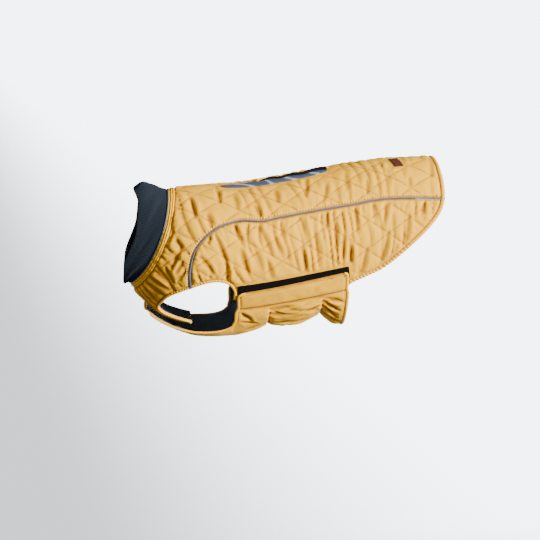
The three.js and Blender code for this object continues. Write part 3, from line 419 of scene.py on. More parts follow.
def column(table, value, at, key=0):
    """Smooth value of one column of a table."""
    x, y = table[:, key], table[:, value]
    slope = (np.append(y[1:], y[-1]) - np.insert(y[:-1], 0, y[0])) / (
        np.append(x[1:], x[-1]) - np.insert(x[:-1], 0, x[0]))
    i = np.clip(np.searchsorted(x, at) - 1, 0, len(x) - 2)
    h = x[i + 1] - x[i]
    t = (at - x[i]) / h
    return ((2 * t**3 - 3 * t**2 + 1) * y[i] + (t**3 - 2 * t**2 + t) * h * slope[i]
            + (3 * t**2 - 2 * t**3) * y[i + 1] + (t**3 - t**2) * h * slope[i + 1])


def ring_point(ring, angle):
    top_x, top_z, low_x, low_z, half = ring
    c, s = np.cos(angle), np.sin(angle)
    return np.stack([(top_x + low_x) / 2 + (top_x - low_x) / 2 * c,
                     half * s * (1 + SHOULDER_FULLNESS * c),
                     (top_z + low_z) / 2 + (top_z - low_z) / 2 * c], -1)


def body_point(station, angle):
    station, angle = np.broadcast_arrays(np.asarray(station, float), np.asarray(angle, float))
    ring = (station, *(column(SECTIONS, k, station) for k in (1, 2, 3, 4)))
    return ring_point(ring, angle)


def unit(vectors):
    return vectors / np.linalg.norm(vectors, axis=-1, keepdims=True)


def with_normal(surface, a, b, step_a, step_b, sign=1.0):
    """Points of a surface and its outward normals."""
    along = surface(a + step_a, b) - surface(a - step_a, b)
    across = surface(a, b + step_b) - surface(a, b - step_b)
    return surface(a, b), sign * unit(np.cross(along, across))


# %% The chart from flat pattern to body
STATIONS = np.arange(-40, 571, 10.0)
ANGLES = np.radians(np.arange(0, 181, 4.0))
grid_points = body_point(STATIONS[:, None], ANGLES[None, :])
CHART_GIRTH = np.zeros(grid_points.shape[:2])
CHART_GIRTH[:, 1:] = np.cumsum(np.linalg.norm(np.diff(grid_points, axis=1), axis=2), axis=1)
CHART_LENGTH = np.zeros(grid_points.shape[:2])
CHART_LENGTH[1:] = np.cumsum(np.linalg.norm(np.diff(grid_points, axis=0), axis=2), axis=0)
CHART_LENGTH += 320 - CHART_LENGTH[list(STATIONS).index(320)]


def chart_value(grid, station, angle):
    fi = (station - STATIONS[0]) / 10
    fj = np.abs(angle) / ANGLES[1]
    i = np.clip(np.floor(fi).astype(int), 0, len(STATIONS) - 2)
    j = np.clip(np.floor(fj).astype(int), 0, len(ANGLES) - 2)
    a, b = fi - i, fj - j
    return ((1 - a) * (1 - b) * grid[i, j] + a * (1 - b) * grid[i + 1, j]
            + (1 - a) * b * grid[i, j + 1] + a * b * grid[i + 1, j + 1])


def to_flat(station, angle):
    station, angle = np.asarray(station, float), np.asarray(angle, float)
    side = np.where(angle < 0, -1.0, 1.0)
    return np.stack([chart_value(CHART_LENGTH, station, angle),
                     side * chart_value(CHART_GIRTH, station, angle)], -1)


def from_flat(length, girth):
    station = np.array(length, float)
    for _ in range(16):
        low, high = np.zeros_like(station), np.full_like(station, math.pi)
        for _ in range(20):
            middle = (low + high) / 2
            short = chart_value(CHART_GIRTH, station, middle) < np.abs(girth)
            low, high = np.where(short, middle, low), np.where(short, high, middle)
        angle = (low + high) / 2
        station = station + 0.8 * (length - chart_value(CHART_LENGTH, station, angle))
    return station, np.where(girth < 0, -angle, angle)


def body_surface(flat):
    station, angle = from_flat(flat[:, 0], flat[:, 1])
    return with_normal(body_point, station, angle, 0.5, 0.005)


print("chart:", CHART_GIRTH.shape, "half girth at the ribs:", round(CHART_GIRTH[19, -1]), "mm")

# %% [markdown]
# ## Pattern drafting
# A panel's outline is drawn from a few smooth curves: seam lines and edges that run on past each
# other and are cut where they cross, just as on a paper pattern.


# %% Curves of the pattern
def even(path, step):
    run = np.insert(np.cumsum(np.hypot(*np.diff(path, axis=0).T)), 0, 0)
    at = np.linspace(0, run[-1], max(1, round(run[-1] / step)) + 1)
    return np.column_stack([np.interp(at, run, path[:, k]) for k in range(path.shape[1])])


def spline(points, step):
    p = np.asarray(points, float)
    ends = np.vstack([p[:1], p, p[-1:]])
    t = np.linspace(0, 1, 16, endpoint=False)[:, None]
    runs = [b + 0.5 * t * (c - a + t * (2 * a - 5 * b + 4 * c - d + t * (3 * (b - c) + d - a)))
            for a, b, c, d in zip(ends, ends[1:], ends[2:], ends[3:])]
    return even(np.vstack(runs + [p[-1:]]), step)


def beside(path, distance):
    """The path moved to its left by a distance."""
    along = np.vstack([path[1] - path[0], path[2:] - path[:-2], path[-1] - path[-2]])
    along /= np.linalg.norm(along, axis=1, keepdims=True)
    return path + distance * np.column_stack([-along[:, 1], along[:, 0]])


def mirror(path):
    return (path * (1, -1))[::-1]


def crossing(first, second):
    r, s = np.diff(first, axis=0), np.diff(second, axis=0)
    scale = r[:, None, 0] * s[None, :, 1] - r[:, None, 1] * s[None, :, 0]
    scale[np.abs(scale) < 1e-9] = 1e-9
    q = second[None, :-1] - first[:-1, None]
    t = (q[..., 0] * s[None, :, 1] - q[..., 1] * s[None, :, 0]) / scale
    w = (q[..., 0] * r[:, None, 1] - q[..., 1] * r[:, None, 0]) / scale
    hit = (t >= 0) & (t <= 1) & (w >= 0) & (w <= 1)
    i = np.nonzero(hit.any(axis=1))[0][-1]
    j = np.nonzero(hit[i])[0][0]
    return first[i] + t[i, j] * r[i], i, j


def outline_of(curves, step, reach=20):
    long = []
    for c in curves:
        start = c[0] + reach * (c[0] - c[1]) / np.linalg.norm(c[0] - c[1])
        end = c[-1] + reach * (c[-1] - c[-2]) / np.linalg.norm(c[-1] - c[-2])
        long.append(np.vstack([start, c, end]))
    cuts = [crossing(c, long[(k + 1) % len(long)]) for k, c in enumerate(long)]
    outline = []
    for k, c in enumerate(long):
        enter, leave = cuts[k - 1], cuts[k]
        piece = np.vstack([enter[0], c[enter[2] + 1:leave[1] + 1], leave[0]])
        outline.append(even(piece, step)[:-1])
    outline = np.vstack(outline)
    return outline if area_of(outline) > 0 else outline[::-1]


def area_of(outline):
    x, y = outline.T
    return 0.5 * float(np.sum(x * np.roll(y, -1) - y * np.roll(x, -1)))


def inside(points, outline):
    result = np.zeros(len(points), bool)
    for a, b in zip(outline, np.roll(outline, 1, axis=0)):
        span = (a[1] > points[:, 1]) != (b[1] > points[:, 1])
        cut = (b[0] - a[0]) * (points[:, 1] - a[1]) / ((b[1] - a[1]) or 1e-9) + a[0]
        result ^= span & (points[:, 0] < cut)
    return result


def nearest(points, path):
    """Distance to a path of close points, and the place along it."""
    distance, index = np.empty(len(points)), np.empty(len(points), int)
    for k in range(0, len(points), 1500):
        gaps = np.hypot(points[k:k + 1500, None, 0] - path[None, :, 0],
                        points[k:k + 1500, None, 1] - path[None, :, 1])
        index[k:k + 1500] = gaps.argmin(axis=1)
        distance[k:k + 1500] = gaps.min(axis=1)
    run = np.insert(np.cumsum(np.hypot(*np.diff(path, axis=0).T)), 0, 0)
    return distance, run[index]


# %% Noise and folds
def noise(x, y, seed):
    """Smooth noise from -1 to 1, the same on each run."""
    xi, yi = np.floor(x), np.floor(y)
    xf, yf = x - xi, y - yi

    def corner(i, j):
        value = np.sin(i * 127.1 + j * 311.7 + seed * 74.7) * 43758.5453
        return 2 * (value - np.floor(value)) - 1

    sx, sy = xf**3 * (xf * (xf * 6 - 15) + 10), yf**3 * (yf * (yf * 6 - 15) + 10)
    near = corner(xi, yi) * (1 - sx) + corner(xi + 1, yi) * sx
    far = corner(xi, yi + 1) * (1 - sx) + corner(xi + 1, yi + 1) * sx
    return near * (1 - sy) + far * sy


def smooth(value, low=0.0, high=1.0):
    t = np.clip((value - low) / (high - low), 0, 1)
    return t * t * (3 - 2 * t)


def puff(flat):
    u = (flat[:, 0] - QUILT_START[0]) / QUILT_LENGTH
    v = (flat[:, 1] - QUILT_START[1]) / QUILT_GIRTH
    return np.abs(np.sin(np.pi * (u + v)) * np.sin(np.pi * (u - v))) ** 0.45


def creases(flat, rows, swap=0.0):
    """Valleys placed one by one: tapered, gentle on the head side, with a ridge on the tail side."""
    total = np.zeros(len(flat))
    for length, girth, reach, width, depth, lean in rows:
        a = math.radians(lean)
        dl, dg = flat[:, 0] - length - swap, np.abs(flat[:, 1]) - girth
        along = (dg * math.cos(a) + dl * math.sin(a)) / (1.5 * reach)
        taper = np.clip(1 - along**2, 0, 1)
        across = (dl * math.cos(a) - dg * math.sin(a)) / (width * (0.35 + 0.65 * taper))
        valley = -np.exp(-(across * np.where(across > 0, 1.3, 0.72)) ** 2)
        shape = valley + 0.45 * np.exp(-(across - 1.9)**2)
        total += depth * shape * taper
    return total


def wrinkles(flat, lean, seed, pitch=23.0):
    """Long folds that fade in and out, steep on the side that faces the head."""
    a = np.radians(lean)
    girth = np.abs(flat[:, 1])
    across = flat[:, 0] * np.cos(a) - girth * np.sin(a)
    along = girth * np.cos(a) + flat[:, 0] * np.sin(a)
    phase = across / pitch + 0.75 * noise(across / 95, along / 120, seed) + (
        0.16 * noise(across / 32, along / 70, seed + 1))
    ridge = np.sin(np.pi * (phase - np.floor(phase)) ** 0.66) ** 0.9 - 0.6
    swell = 0.15 + 0.85 * smooth(noise(across / 42, along / 72, seed + 2), -0.6, 0.6)
    fine = np.abs(noise(across / 11, along / 60, seed + 3)) - 0.3
    return 4.5 * ridge * swell + 0.7 * fine


def gathers(flat, path, pitch, depth, fade, seed):
    """Small folds that run out from a gathered edge."""
    distance, run = nearest(flat, path)
    drift = 0.45 * noise(run / (2.3 * pitch), distance / 30.0, seed)
    return depth * np.cos(2 * np.pi * (run / pitch + drift)) * np.exp(-distance / fade)


# %% [markdown]
# ## Turning a flat outline into padded cloth
# Close points parallel to the quilting lines fill the outline, so that each stitched line falls
# on a row of points and stays crisp. The outer face carries the relief, the inner face is plain
# lining, and the rim between them closes the wall.


# %% Mesh makers
def new_piece(name, points, faces, materials, uv=None, face_material=None, **attributes):
    mesh = bpy.data.meshes.new(name)
    mesh.from_pydata((np.asarray(points) * 0.001).tolist(), [], faces)
    for material in materials:
        mesh.materials.append(material)
    if face_material is not None:
        mesh.polygons.foreach_set("material_index", face_material)
    if uv is not None:
        layer = mesh.uv_layers.new(name="pattern")
        corner = np.empty(len(mesh.loops), int)
        mesh.loops.foreach_get("vertex_index", corner)
        layer.data.foreach_set("uv", (np.asarray(uv)[corner] * 0.001).ravel())
    for label in ("crease", "pale"):
        values = attributes.get(label, np.zeros(len(points)))
        store = mesh.attributes.new(label, "FLOAT", "POINT")
        store.data.foreach_set("value", np.broadcast_to(values, len(points)).astype(float))
    piece = bpy.data.objects.new(name, mesh)
    bpy.context.scene.collection.objects.link(piece)
    mesh.shade_smooth()
    mesh.validate()
    return piece


def finish_edges(piece, degrees=48):
    bpy.ops.object.select_all(action="DESELECT")
    piece.select_set(True)
    bpy.context.view_layer.objects.active = piece
    bpy.ops.object.shade_smooth_by_angle(angle=math.radians(degrees))


def fill(outline, grid, margin):
    """Triangles over an outline and the grid points well inside it."""
    points = grid[inside(grid, outline)]
    points = points[nearest(points, even(np.vstack([outline, outline[:1]]), 1.0))[0] > margin]
    flat = np.vstack([outline, points])
    verts, _, faces, origins, _, _ = delaunay_2d_cdt(
        [Vector(p) for p in flat.tolist()], [], [list(range(len(outline)))], 1, 1e-5)
    rim = np.empty(len(outline), int)
    for k, sources in enumerate(origins):
        for source in sources:
            if source < len(outline):
                rim[source] = k
    return np.array([v[:] for v in verts]), [list(f) for f in faces], rim


def quilt_grid(outline, rows=18):
    low, high = outline.min(axis=0), outline.max(axis=0)
    half = np.array([QUILT_LENGTH, QUILT_GIRTH]) / (2 * rows)
    i, j = np.meshgrid(np.arange(-1100, 1100), np.arange(-1100, 1100))
    x = QUILT_START[0] + half[0] * (i + j)
    y = QUILT_START[1] + half[1] * (i - j)
    keep = (x > low[0]) & (x < high[0]) & (y > low[1]) & (y < high[1])
    return np.column_stack([x[keep], y[keep]])


def square_grid(outline, step):
    low, high = outline.min(axis=0), outline.max(axis=0)
    x, y = np.meshgrid(np.arange(low[0], high[0], step), np.arange(low[1], high[1], step))
    x = x + 0.5 * step * (np.round((y - low[1]) / step) % 2)
    return np.column_stack([x.ravel(), y.ravel()])


def wall(name, outline, surface, relief, grid, top=0.0, thick=5.0, edge_drop=2.0, edge_width=5.0,
         inner_step=14.0, outside=None, within=None, fade=9.0, shade=None):
    ring = even(np.vstack([outline, outline[:1]]), 1.0)

    def height(flat):
        from_edge = nearest(flat, ring)[0]
        rise = np.clip(relief(flat), 1.0 - thick, 7.0)
        drop = edge_drop * (1 - smooth(from_edge, 0, edge_width))
        return top + rise * smooth(from_edge, 0, fade) - drop

    flat, faces, rim = fill(outline, grid, 1.2)
    spot, normal = surface(flat)
    lift = height(flat)
    outer = spot + normal * lift[:, None]
    # Painted shade: points that lie below their neighbours, as fold valleys do, are darkened, and so is a
    # narrow band along each seam.
    hollow = sum(height(flat + step) for step in ((6, 0), (-6, 0), (0, 6), (0, -6))) / 4 - lift
    flat_in, faces_in, rim_in = fill(outline, square_grid(outline, inner_step), 5.0)
    spot_in, normal_in = surface(flat_in)
    inner = spot_in + normal_in * (top - thick)
    n = len(outer)
    seam_shade = 0.75 * np.exp(-(nearest(flat, ring)[0] / 2.2) ** 2) * (edge_drop > 0.8)
    if shade is not None:
        seam_shade = seam_shade + shade(flat)
    turn_out = area_sign(outer, faces, normal)
    outer_faces = [f if turn_out else f[::-1] for f in faces]
    inner_faces = [[k + n for k in (f[::-1] if turn_out else f)] for f in faces_in]
    sides = []
    for k in range(len(rim)):
        a, b = rim[k], rim[(k + 1) % len(rim)]
        c, d = rim_in[(k + 1) % len(rim)] + n, rim_in[k] + n
        sides.append([b, a, d, c] if turn_out else [a, b, c, d])
    kinds = [0] * len(outer_faces) + [1] * len(inner_faces) + [0] * len(sides)
    piece = new_piece(
        name, np.vstack([outer, inner]), outer_faces + inner_faces + sides,
        [outside or shell, within or lining], uv=np.vstack([flat, flat_in]), face_material=kinds,
        crease=np.concatenate([np.clip(hollow / 1.5 + seam_shade, 0, 1), np.zeros(len(inner))]))
    finish_edges(piece)
    print(f"{name}: {len(outer_faces)} outer faces, cut {area_of(outline) / 100:.0f} cm2")
    return piece, height


def area_sign(points, faces, normal):
    """True where the triangles already face outwards."""
    a, b, c = points[faces[0]]
    return float(np.dot(np.cross(b - a, c - a), normal[faces[0][0]])) > 0


def tube(name, points, across, rise, profile, materials, closed=False, **attributes):
    """A solid swept along points; profile(i) gives rows of across and rise for each place."""
    rings = np.array([points[i] + np.outer(profile(i)[:, 0], across[i])
                      + np.outer(profile(i)[:, 1], rise[i]) for i in range(len(points))])
    count, size = rings.shape[:2]
    faces = []
    for i in range(count if closed else count - 1):
        j = (i + 1) % count
        faces += [[i * size + k, i * size + (k + 1) % size, j * size + (k + 1) % size, j * size + k]
                  for k in range(size)]
    if not closed:
        faces += [list(range(size))[::-1], list(range((count - 1) * size, count * size))]
    run = np.insert(np.cumsum(np.linalg.norm(np.diff(points, axis=0), axis=1)), 0, 0)
    uv = np.column_stack([np.repeat(run, size), np.tile(np.linspace(0, 9, size), count)])
    for label, values in attributes.items():
        if np.size(values) != count * size:
            attributes[label] = np.repeat(np.broadcast_to(values, count), size)
    piece = new_piece(name, rings.reshape(-1, 3), faces, materials, uv=uv, **attributes)
    if signed_volume(rings.reshape(-1, 3), faces) < 0:
        piece.data.flip_normals()
    return piece


def signed_volume(points, faces):
    total = 0.0
    for face in faces:
        a = points[face[0]]
        for k in range(1, len(face) - 1):
            total += float(np.dot(a, np.cross(points[face[k]], points[face[k + 1]])))
    return total / 6


def frames_on(surface, path, closed=False):
    points, normal = surface(path)
    if closed:
        along = unit(np.roll(points, -1, axis=0) - np.roll(points, 1, axis=0))
    else:
        along = unit(np.vstack([points[1] - points[0], points[2:] - points[:-2],
                                points[-1] - points[-2]]))
    across = unit(np.cross(normal, along))
    return points, across, unit(np.cross(along, across))


def oval(half_width, half_height, centre, sides=12):
    a = 2 * np.pi * (np.arange(sides) + 0.5) / sides
    return np.column_stack([half_width * np.cos(a), centre + half_height * np.sin(a)])


# %% Thread stitches
def stitches(name, surface, path, lift, pitch=3.4, size=(2.3, 0.42), lean=0.0, material=None):
    """One row of thread: a few-sided grain for each stitch, laid on the cloth."""
    places_flat = even(path, pitch)
    points, across, rise = frames_on(surface, places_flat)
    points = points + rise * np.broadcast_to(lift, len(points))[:, None]
    along = unit(np.cross(across, rise))
    a = math.radians(lean)
    heading = along * math.cos(a) + across * math.sin(a)
    sideways = across * math.cos(a) - along * math.sin(a)
    stations = ((-0.5, 0.0), (-0.32, 0.8), (0.0, 1.0), (0.32, 0.8), (0.5, 0.0))
    turns = 2 * np.pi * np.arange(6) / 6
    verts, faces = [], []
    for p, h, s, r in zip(points, heading, sideways, rise):
        base = len(verts)
        for at, fat in stations[1:-1]:
            for t in turns:
                verts.append(p + h * at * size[0] + s * size[1] * fat * math.cos(t)
                             + r * size[1] * fat * (0.25 + math.sin(t)))
        tips = (base + 18, base + 19)
        verts.append(p + h * stations[0][0] * size[0])
        verts.append(p + h * stations[-1][0] * size[0])
        for k in range(6):
            m = (k + 1) % 6
            for row in (0, 6):
                faces.append([base + row + k, base + row + m, base + row + 6 + m, base + row + 6 + k])
            faces.append([base + m, base + k, tips[0]])
            faces.append([base + 12 + k, base + 12 + m, tips[1]])
    verts = np.array(verts)
    piece = new_piece(name, verts, faces, [material or thread], uv=verts[:, :2])
    if signed_volume(verts, faces) < 0:
        piece.data.flip_normals()
    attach(piece, "root")
    return piece

# %% [markdown]
# ## Seams and edges of the pattern
# Half of the pattern is drawn, as length along the body and girth from the spine, and the other
# half is its mirror image. The same few curves cut every panel, so neighbours always fit along
# their seam.

# %% Curves of the left half
HEM_EDGE = ((372, 304), (378, 299), (408, 288), (444, 272), (478, 245), (511, 212), (536, 182),
            (552, 156), (559, 129), (557, 92), (553, 58), (550, 20), (550, 0))
PIPING_LINE = ((43, 277), (39, 247), (40, 218), (46, 189), (61, 165), (78, 149), (98, 137),
               (134, 129), (178, 136), (214, 134), (265, 132), (307, 131), (363, 130), (421, 126),
               (505, 128), (559, 127))
# columns: station, angle in degrees
LEG_EDGE = ((174, 117), (171, 110), (160, 104), (145, 102), (132, 103), (120, 106), (106, 111),
            (89, 119), (77, 127), (71, 138), (69, 150), (75, 156), (90, 158), (108, 158), (130, 158))
CHEST_SEAM = ((22, 106), (50, 111), (90, 121))
WELT_LOW = ((98, 17), (108, 28), (154, 36), (195, 39), (262, 38), (290, 36), (319, 28))
WELT_TOP = ((98, 14), (150, 11), (180, 15), (204, 14), (221, 21), (242, 17), (270, 23), (297, 16),
            (319, 22))
ZIP_TOP = ((176, 12), (202, 5), (221, 13), (242, 8), (270, 14), (297, 6), (319, 12))
LABEL = ((451, 10), (469, 9), (476, 47), (458, 48))
HEM_WIDTH, LEG_BINDING, BAND_WIDTH = 9.0, 6.0, 12.0
FINE = 3.0  # spacing of points along the curves


def left_half(rows):
    return np.array([(length, -girth) for length, girth in rows], float)


def smooth_path(rows):
    return spline(left_half(rows), FINE)


def on_body(rows):
    stations, degrees = np.array(rows, float).T
    return to_flat(stations, -np.radians(degrees))


def neck_station(angle, past):
    return -8 + 21 * np.sin(angle) ** 2 + past


hem_half = smooth_path(HEM_EDGE)
piping_half = smooth_path(PIPING_LINE)
leg_half = spline(on_body(LEG_EDGE), FINE)
chest_seam = spline(on_body(CHEST_SEAM), FINE)
flank = even(left_half(((134, 305), (372, 304))), FINE)
hem_whole = np.vstack([hem_half, mirror(hem_half)[1:]])
neck_angles = np.radians(np.arange(114, -115, -1.5))
neckline = to_flat(neck_station(neck_angles, BAND_WIDTH - 1.0), neck_angles)
front_leg = leg_half[leg_half[:, 0] < 60]

PIPE_ROOM = 1.2
back_outline = outline_of([
    neckline, chest_seam, beside(front_leg[::-1], LEG_BINDING - 1), beside(piping_half, PIPE_ROOM),
    beside(hem_whole, HEM_WIDTH - 1), beside(mirror(piping_half), PIPE_ROOM),
    beside(mirror(front_leg)[::-1], LEG_BINDING - 1), mirror(chest_seam)], FINE)
side_outline = outline_of([
    beside(piping_half, -PIPE_ROOM), beside(hem_half[::-1], 1 - HEM_WIDTH), flank[::-1],
    beside(leg_half[leg_half[:, 0] > 20], 1 - LEG_BINDING)], FINE)
print("back panel:", round(area_of(back_outline) / 100), "cm2; side panel:",
      round(area_of(side_outline) / 100), "cm2")

# %% [markdown]
# ## Quilted panels
# On the real coat the outer cloth is a little longer than its lining, so it stands up in round
# swells between sharp valleys. The main valleys are placed one by one from the picture; slow
# noise adds the small ones. The far side has valleys of the same kind, moved along.

# %% Main valleys
# columns: length, girth, reach, width, depth, lean in degrees
SIDE_CREASES = (
    (372, 161, 27, 5, 3.2, 9), (434, 153, 19, 5, 3.8, -7), (483, 191, 25, 6, 3.8, -2),
    (513, 149, 13, 5, 2.4, -7), (410, 151, 20, 5, 2.2, 11), (365, 232, 26, 5, 4.0, 9),
    (396, 255, 27, 6, 4.0, -8), (439, 225, 27, 6, 4.4, -8), (332, 191, 22, 6, 2.8, 3),
    (308, 154, 20, 6, 2.6, 7), (262, 162, 28, 6, 3.2, 16), (220, 165, 22, 5, 3.2, 13),
    (232, 205, 17, 5, 2.6, 14), (132, 159, 26, 5, 3.6, 24), (103, 197, 33, 5, 3.8, 22),
    (114, 243, 21, 5, 4.6, 10), (147, 216, 26, 5, 3.0, 18), (188, 180, 27, 6, 3.4, 26),
    (216, 197, 21, 5, 2.6, 25), (73, 220, 23, 5, 2.8, 35), (74, 163, 10, 4, 3.4, -4),
    (173, 211, 26, 6, 2.6, 21), (295, 211, 28, 6, 2.4, 12), (268, 231, 24, 5, 2.6, 14),
    (200, 243, 20, 5, 2.4, 16), (348, 212, 20, 5, 2.4, 4), (462, 236, 18, 5, 2.6, -12))
BACK_CREASES = (
    (309, 93, 16, 6, 2.8, -11), (270, 73, 20, 6, 3.0, -4), (396, 95, 15, 5, 2.4, 1),
    (534, 48, 27, 6, 3.0, -5), (485, 92, 10, 5, 2.0, 9), (39, 87, 22, 6, 3.4, 9),
    (74, 126, 16, 6, 3.6, 17), (91, 52, 25, 5, 3.6, 6), (209, 82, 14, 6, 3.0, 11),
    (168, 112, 15, 6, 3.0, 22), (-10, 147, 18, 6, 3.0, -13), (16, 221, 13, 5, 3.6, 159),
    (126, 81, 18, 6, 2.8, 12), (353, 75, 21, 6, 2.2, 1), (441, 72, 22, 6, 2.2, 0),
    (-4, 240, 20, 5, 4.2, 25), (8, 200, 22, 6, 3.4, -18), (14, 172, 18, 6, 2.6, 30),
    (28, 238, 16, 5, 3.6, -30))


def calm(flat):
    """What lies flat on a panel keeps the quilting under it flat."""
    length, girth = flat[:, 0], flat[:, 1]
    under_wing = smooth(np.abs(girth), 271 - 0.07 * length, 281 - 0.07 * length) * (
        smooth(length, 120, 134) * (1 - smooth(length, 370, 384)))
    under_harness = smooth(length, 84, 98) * (1 - smooth(length, 318, 332)) * (
        smooth(-girth, -8, 4) * (1 - smooth(-girth, 36, 50)))
    under_label = smooth(length, 438, 450) * (1 - smooth(length, 476, 488)) * (
        smooth(-girth, -2, 8) * (1 - smooth(-girth, 48, 60)))
    return 1 - np.maximum(np.maximum(under_wing, under_harness), under_label)


zip_lip = beside(smooth_path(ZIP_TOP), 4.0)


def lip(flat):
    """The fold of shell cloth that stands up along the zip."""
    return 5.5 * np.exp(-(nearest(flat, zip_lip)[0] / 3.6) ** 2)


def quilted_relief(rows, seed, swing, seams, swap=0.0):
    def relief(flat):
        rise = puff(flat)
        lean = 21 - 19 * smooth(flat[:, 0], 230, 400)
        shoulder = 1 + 0.35 * (1 - smooth(flat[:, 0], 20, 90))
        swell = wrinkles(flat, lean, seed) * (0.5 + 0.5 * rise) * swing * shoulder
        total = 1.9 * rise + swell + 1.05 * creases(flat, rows, swap)
        for path, pitch, depth, fade in seams:
            total += gathers(flat, path, pitch, depth, fade, seed + 5)
        return calm(flat) * total

    return relief


# %% Back panel
right_piping, right_leg = mirror(piping_half), mirror(leg_half)
back_relief = quilted_relief(
    BACK_CREASES, 3, 0.72,
    ((neckline, 13, 1.3, 16), (piping_half, 15, 0.7, 14), (right_piping, 15, 0.7, 14),
     (leg_half, 8, 1.7, 16), (right_leg, 8, 1.7, 16), (hem_whole, 17, 0.5, 14)))


def shoulder_shade(flat):
    low_front = (1 - smooth(flat[:, 0], -5, 50)) * smooth(np.abs(flat[:, 1]), 150, 235)
    groove = np.exp(-(nearest(flat, neckline)[0] / 4.5) ** 2) * smooth(np.abs(flat[:, 1]), 50, 130)
    return 0.5 * low_front + 0.9 * groove


back_panel, back_height = wall("back_cloth", back_outline, body_surface,
                               lambda flat: back_relief(flat) + lip(flat),
                               quilt_grid(back_outline), shade=shoulder_shade)
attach(back_panel, "root")
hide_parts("back_panel")

# %% Side panels
side_heights = {}
for side, sign, swap, seed in (("left", 1, 0.0, 11), ("right", -1, 9.0, 17)):
    outline = side_outline if sign > 0 else (side_outline * (1, -1))[::-1]
    mate = piping_half if sign > 0 else right_piping
    leg_edge = leg_half if sign > 0 else right_leg
    edge = hem_half if sign > 0 else mirror(hem_half)
    relief = quilted_relief(
        SIDE_CREASES, seed, 0.95,
        ((mate, 12, 1.1, 18), (leg_edge, 9, 1.9, 20), (edge, 13, 0.9, 16)), swap)
    piece, side_heights[side] = wall(f"side_cloth_{side}", outline, body_surface, relief,
                                     quilt_grid(outline))
    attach(piece, "root")
    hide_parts(f"side_panel_{side}")

# %% [markdown]
# ## Chest panel
# Below the collar the cloth is drawn up on elastic into deep, uneven folds, and a bound tongue
# runs back between the front legs. It has a flat pattern of its own, centred on the middle of the
# chest.

# %% Chest panel
CHEST_LENGTH, CHEST_GIRTH, TONGUE_END = 0.85, 95.0, 130


def chest_flat(station, degrees):
    return np.stack([CHEST_LENGTH * np.asarray(station, float),
                     CHEST_GIRTH * np.radians(180 - np.asarray(degrees, float))], -1)


def chest_surface(flat):
    station, angle = flat[:, 0] / CHEST_LENGTH, math.pi - flat[:, 1] / CHEST_GIRTH
    return with_normal(body_point, station, -angle, 0.5, 0.005)


chest_turns = np.arange(100, 261, 2.0)
chest_neck = chest_flat(neck_station(np.radians(chest_turns), BAND_WIDTH - 1.0), chest_turns)
chest_side = spline(chest_flat(*np.array(CHEST_SEAM).T), FINE)
chest_leg = spline(chest_flat(*np.array(LEG_EDGE[6:]).T), FINE)
tongue = CHEST_LENGTH * TONGUE_END
chest_outline = outline_of([
    chest_neck, chest_side * (1, -1), beside(chest_leg * (1, -1), LEG_BINDING - 3),
    np.array([(tongue, -30), (tongue, 30)], float), beside(chest_leg[::-1], LEG_BINDING - 3),
    chest_side[::-1]], FINE)


def chest_relief(flat):
    fade = np.exp(-np.clip(flat[:, 0] - 20, 0, None) / 60)
    fan = flat[:, 1] / 14.5 + 0.38 * noise(flat[:, 0] / 60, flat[:, 1] / 30, 31)
    folds = 6.2 * (np.abs(np.cos(np.pi * fan)) ** 0.8 - 0.55) * fade
    small = 1.6 * (np.abs(noise(flat[:, 1] / 6.5, flat[:, 0] / 24, 33)) - 0.3)
    return folds + small + 1.4 * fade + 0.4


# Painted shade over the whole chest, full at the front and half as strong from 90 mm back, as the chest
# lies in shadow.
chest_cloth, _ = wall("chest_cloth", chest_outline, chest_surface, chest_relief,
                      square_grid(chest_outline, 2.4), edge_width=4,
                      shade=lambda flat: 1.0 - 0.5 * smooth(flat[:, 0], 40, 90))
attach(chest_cloth, "root")
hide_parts("chest_panel")

# %% [markdown]
# ## Collar
# The collar is one tube of rib knit, folded double at its free rim. Two hundred ribs run along
# the neck. They are modelled, because they make the rim's edge; the small knit loops are left to
# the finish.

# %% Collar
RIBS, PER_RIB, COLLAR_WALL = 200, 6, 4.0


def collar_point(rise, angle):
    seam = body_point(neck_station(angle, -0.3), angle)
    rim = ring_point(RIM, angle)
    nape = np.clip(np.cos(angle), 0, None) ** 2
    out = np.stack([np.zeros_like(angle), np.sin(angle), np.cos(angle)], -1)
    crest = 6 * nape * np.sin(np.pi * np.clip(rise, 0, 1) ** 2)
    curl = smooth(rise, 0.72, 1.0) * np.clip(np.cos(angle), 0, None) ** 7
    turned = np.arccos(np.cos(angle))
    slant = (6.5 * smooth(turned, 0.3, 0.9) - 18 * smooth(turned, 1.35, 2.15)
             + 3 * smooth(turned, 2.3, 3.1)) * np.clip(rise, 0, None) ** 1.3
    forward = np.stack([slant - 7 * curl, 0 * angle, -9 * curl ** 2], -1)
    return seam + (rim - seam) * rise[..., None] + out * crest[..., None] + forward


def collar_rows():
    """Rise and depth round the wall: up the outside, over the rim and down the inside."""
    rows = [(r, 0.0) for r in np.linspace(0, 0.985, 26)]
    rows += [(0.985 + 0.02 * math.sin(a), -COLLAR_WALL / 2 * (1 - math.cos(a)))
             for a in np.radians((30, 60, 90, 120, 150))]
    return rows + [(r, -COLLAR_WALL) for r in np.linspace(0.985, 0, 12)]


